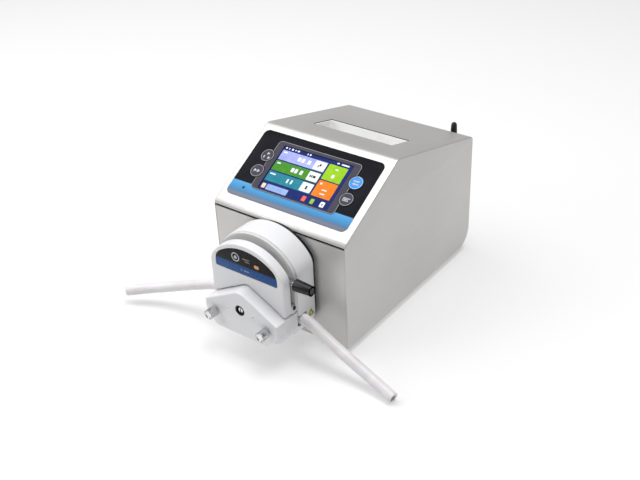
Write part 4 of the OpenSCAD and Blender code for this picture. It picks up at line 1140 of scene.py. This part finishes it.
def makeJawLabel():
    label = facing("jawLabel", [archOutline(*jaw["label"])], -54.7, -54.02, 0.2, 2)
    finishPiece(label, "jaw", [finishes["label_blue"]], ["head_label"])
    badges = {
        "labelRing": ([circleLine(-13.2, 115.2, 5.4), circleLine(-13.2, 115.2, 4.2)], signWhite),
        "labelLeaf": ([roundCorners([(-16.2, 113.4, 1), (-10.2, 113.4, 1), (-13.2, 118.4, 1)])], signWhite),
        "labelBars": ([roundedBox(9, 1.3, 0.5, (1.4, 116.4)),
                       roundedBox(6.6, 1.1, 0.5, (3, 113.6))], signBrown),
        "labelSpot": ([roundedBox(6.4, 4.2, 1.6, (15.4, 112))], signOrange),
        "labelDash": ([roundedBox(7, 1.5, 0.6, (1, 101.6)),
                       roundedBox(2, 1.5, 0.6, (-6, 101.6))], signBlue),
    }
    for name, (outlines, material) in badges.items():
        badge = facing(name, outlines, -54.78, -54.66, 0.03, 1)
        finishPiece(badge, "jaw", [material])


def makeDarkHook():
    # a small black hook-shaped piece at the foot of the groove on the jaw's right side
    corners = [(49, 63.2, 0.5), (51.2, 63.2, 0.8), (51.2, 66.6, 0.9), (49, 68.6, 0.5)]
    darkHook = facing("jawDarkHook", [roundCorners(corners)], -41.4, -38, 0.3)
    finishPiece(darkHook, "jaw", [finishes["black_part"]])


def makeBackPlate():
    # the plate that closes the rear half behind the jaw, cut away round the rollers; its grey is the head's
    # white darkened, painted shade for the groove behind the jaw
    radius, centre, half = head["arch"]
    outline = archOutline(radius - 1, centre, half - 1, 59.8, 1)
    plate = facing("jawBackPlate", [outline], -37.45, -34.15, 0.3, 2)
    combine(plate, [frontRod("bore", 0, head["rotorZ"], 37.8, -38, -33, 128)])
    finishPiece(plate, "jaw", [shadedPlateWhite])


def makeShaftEnd():
    # a black sleeve in the window, painted shade standing in for the dark of the deep bore, and the shaft's
    # slotted steel tip inside it
    boreShadeSleeve = frontRod("windowShadeSleeve", 0, head["rotorZ"], 6.45, -69.7, -50.2, 64)
    combine(boreShadeSleeve, [frontRod("bore", 0, head["rotorZ"], 4.95, -71, -49, 64)])
    bevelEdges(boreShadeSleeve, 0.0003)
    finishPiece(boreShadeSleeve, "drive", [finishes["black_part"]])
    tip = frontRod("shaftTip", 0, head["rotorZ"], 3, -68.6, -63.9, 48)
    combine(tip, [driveBlock("slot", (-0.7, -70, 55), (0.7, -67.2, 65))])
    bevelEdges(tip, 0.00025)
    finishPiece(tip, "rotor", [finishes["chrome"]])


def makePins():
    # two small domed pins beside the window
    x, z = head["pinMark"]
    for sign, name in ((-1, "leftPin"), (1, "rightPin")):
        deselect()
        bpy.ops.mesh.primitive_uv_sphere_add(segments=32, ring_count=16, radius=0.00155, location=(0, 0, 0))
        pin = bpy.context.object
        pin.name = name
        editAll(pin)
        bpy.ops.mesh.bisect(plane_co=(0, 0, 0), plane_no=(0, 1, 0), use_fill=True, clear_outer=True)
        leaveEdit()
        moveTo(pin, at(sign * x, -69.6, z))
        finishPiece(pin, "drive", [finishes["chrome"]])


makeHeadBack()
makeHeadFront()
makeJaw()
makeJawLabel()
makeDarkHook()
makeBackPlate()
makeShaftEnd()
makePins()
print("head mouldings built")

lever = {"start": 54.5, "end": 76, "radii": (6.8, 5.5), "y": -40.4, "z": 97}


def makeGrip():
    long = lever["end"] - lever["start"]
    big, small = lever["radii"]
    piece = addRod("leverGrip", (0, 0), big, 0, long, 56, small)
    selectWhere(piece, lambda c, n: n.z > 0.9)
    bpy.ops.mesh.inset(thickness=0.0008)
    leaveEdit()
    selectWhere(piece, lambda c, d: abs(d.z) < 0.1 and (c.z < 0.0001 or c.z > (long - 0.1) / 1000)
                and math.hypot(c.x, c.y) > 0.0043, "EDGE")
    bpy.ops.mesh.bevel(offset=0.0011, segments=4, affect="EDGES")
    leaveEdit()
    bore = addRod("bore", (0, 0), 3.2, -1, 61 - lever["start"], 40)
    combine(piece, [bore])
    moveTo(piece, (0, 0, 0), (0, 90, 0))
    moveTo(piece, at(lever["start"], lever["y"], lever["z"]))
    finishPiece(piece, "lever", [finishes["grip_black"]], ["lever_grip"])


thumbScrew = {"knob": 5.45, "ridge": 0.35, "teeth": 24, "front": -82, "back": -72}


def makeThumbScrew():
    # modelled standing on the origin with its knob upwards, then laid down and copied across
    t = thumbScrew
    long = t["back"] - t["front"]
    piece = addRod("rightThumbScrew", (0, 0), t["knob"], 0, long, t["teeth"] * 2)
    width = math.tau / (t["teeth"] * 2)

    def isRidge(c, n):
        return abs(n.z) < 0.1 and int(round(math.atan2(c.y, c.x) / width - 0.5)) % 2 == 0

    selectWhere(piece, isRidge)
    bpy.ops.mesh.inset(thickness=0.00012, use_individual=True)
    grow = 1 + t["ridge"] / t["knob"]
    bpy.ops.transform.resize(value=(grow, grow, 1))
    leaveEdit()
    selectWhere(piece, lambda c, n: n.z > 0.9 and c.z > (long - 0.1) / 1000)
    bpy.ops.mesh.inset(thickness=0.0012)
    bpy.ops.mesh.inset(thickness=0.0006)
    raiseBy(-0.0007)
    leaveEdit()
    collar = addRod("collar", (0, 0), 3.6, -1.7, 0.2, 48)
    shank = addRod("shank", (0, 0), 2, -35.8, -1.2, 32)
    combine(piece, [collar, shank], "UNION")
    x, z = head["thumbHole"]
    moveTo(piece, (0, 0, 0), (90, 0, 0))
    moveTo(piece, at(x, t["back"], z))
    twin = copyOf(piece, "leftThumbScrew")
    moveTo(twin, (-2 * x / 1000, 0, 0))
    finishPiece(piece, "right_screw", [finishes["chrome"]], ["right_thumb_screw"], 25)
    finishPiece(twin, "left_screw", [finishes["chrome"]], ["left_thumb_screw"], 25)


makeGrip()
makeThumbScrew()


def makeTubeLoop():
    # a copy of the loop's rings, joined up and rounded
    piece = bpy.data.objects.new("tubeLoop", nodes["tube_loop"].data.copy())
    bpy.context.scene.collection.objects.link(piece)
    editAll(closeSeams(piece, 0.00001))
    bpy.ops.mesh.tris_convert_to_quads(face_threshold=math.radians(60), shape_threshold=math.radians(60))
    leaveEdit()
    useModifier(piece, "SUBSURF", levels=2, render_levels=2)
    finishPiece(piece, "drive", [finishes["silicone"]], ["tube_loop"], 60)


makeTubeLoop()

sticker = {"side": 14, "middle": (-13.8, 46), "border": 1.3, "line": 1.0}
markYellow = makePlain("markYellow", (0.68, 0.66, 0.22), 0, 0.4, 900, 0.00001, 0)


def makeSticker():
    # a plain three-cornered mark on the head's right side
    half = sticker["side"] / 2
    high = sticker["side"] * 0.87
    y, z = sticker["middle"]
    corners = [(y - half, z - high / 2, 1), (y + half, z - high / 2, 1), (y, z + high / 2, 1)]
    x = head["arch"][2]
    base = across("sideMark", roundCorners(corners), x, x + 0.16, 0.05, 1)
    finishPiece(base, "drive", [markYellow])
    outer = [(px, pz, 0.3) for px, pz, r in insetCorners(corners, sticker["border"])]
    inner = [(px, pz, 0.2) for px, pz, r in insetCorners(outer, sticker["line"])]
    dark = across("sideMarkInside", roundCorners(outer, 3), x + 0.15, x + 0.22, 0.02, 1)
    combine(dark, [across("hollow", roundCorners(inner, 3), x, x + 1)])
    finishPiece(dark, "drive", [finishes["black_part"]])


makeSticker()
print("head details built")

print("all pieces ready")
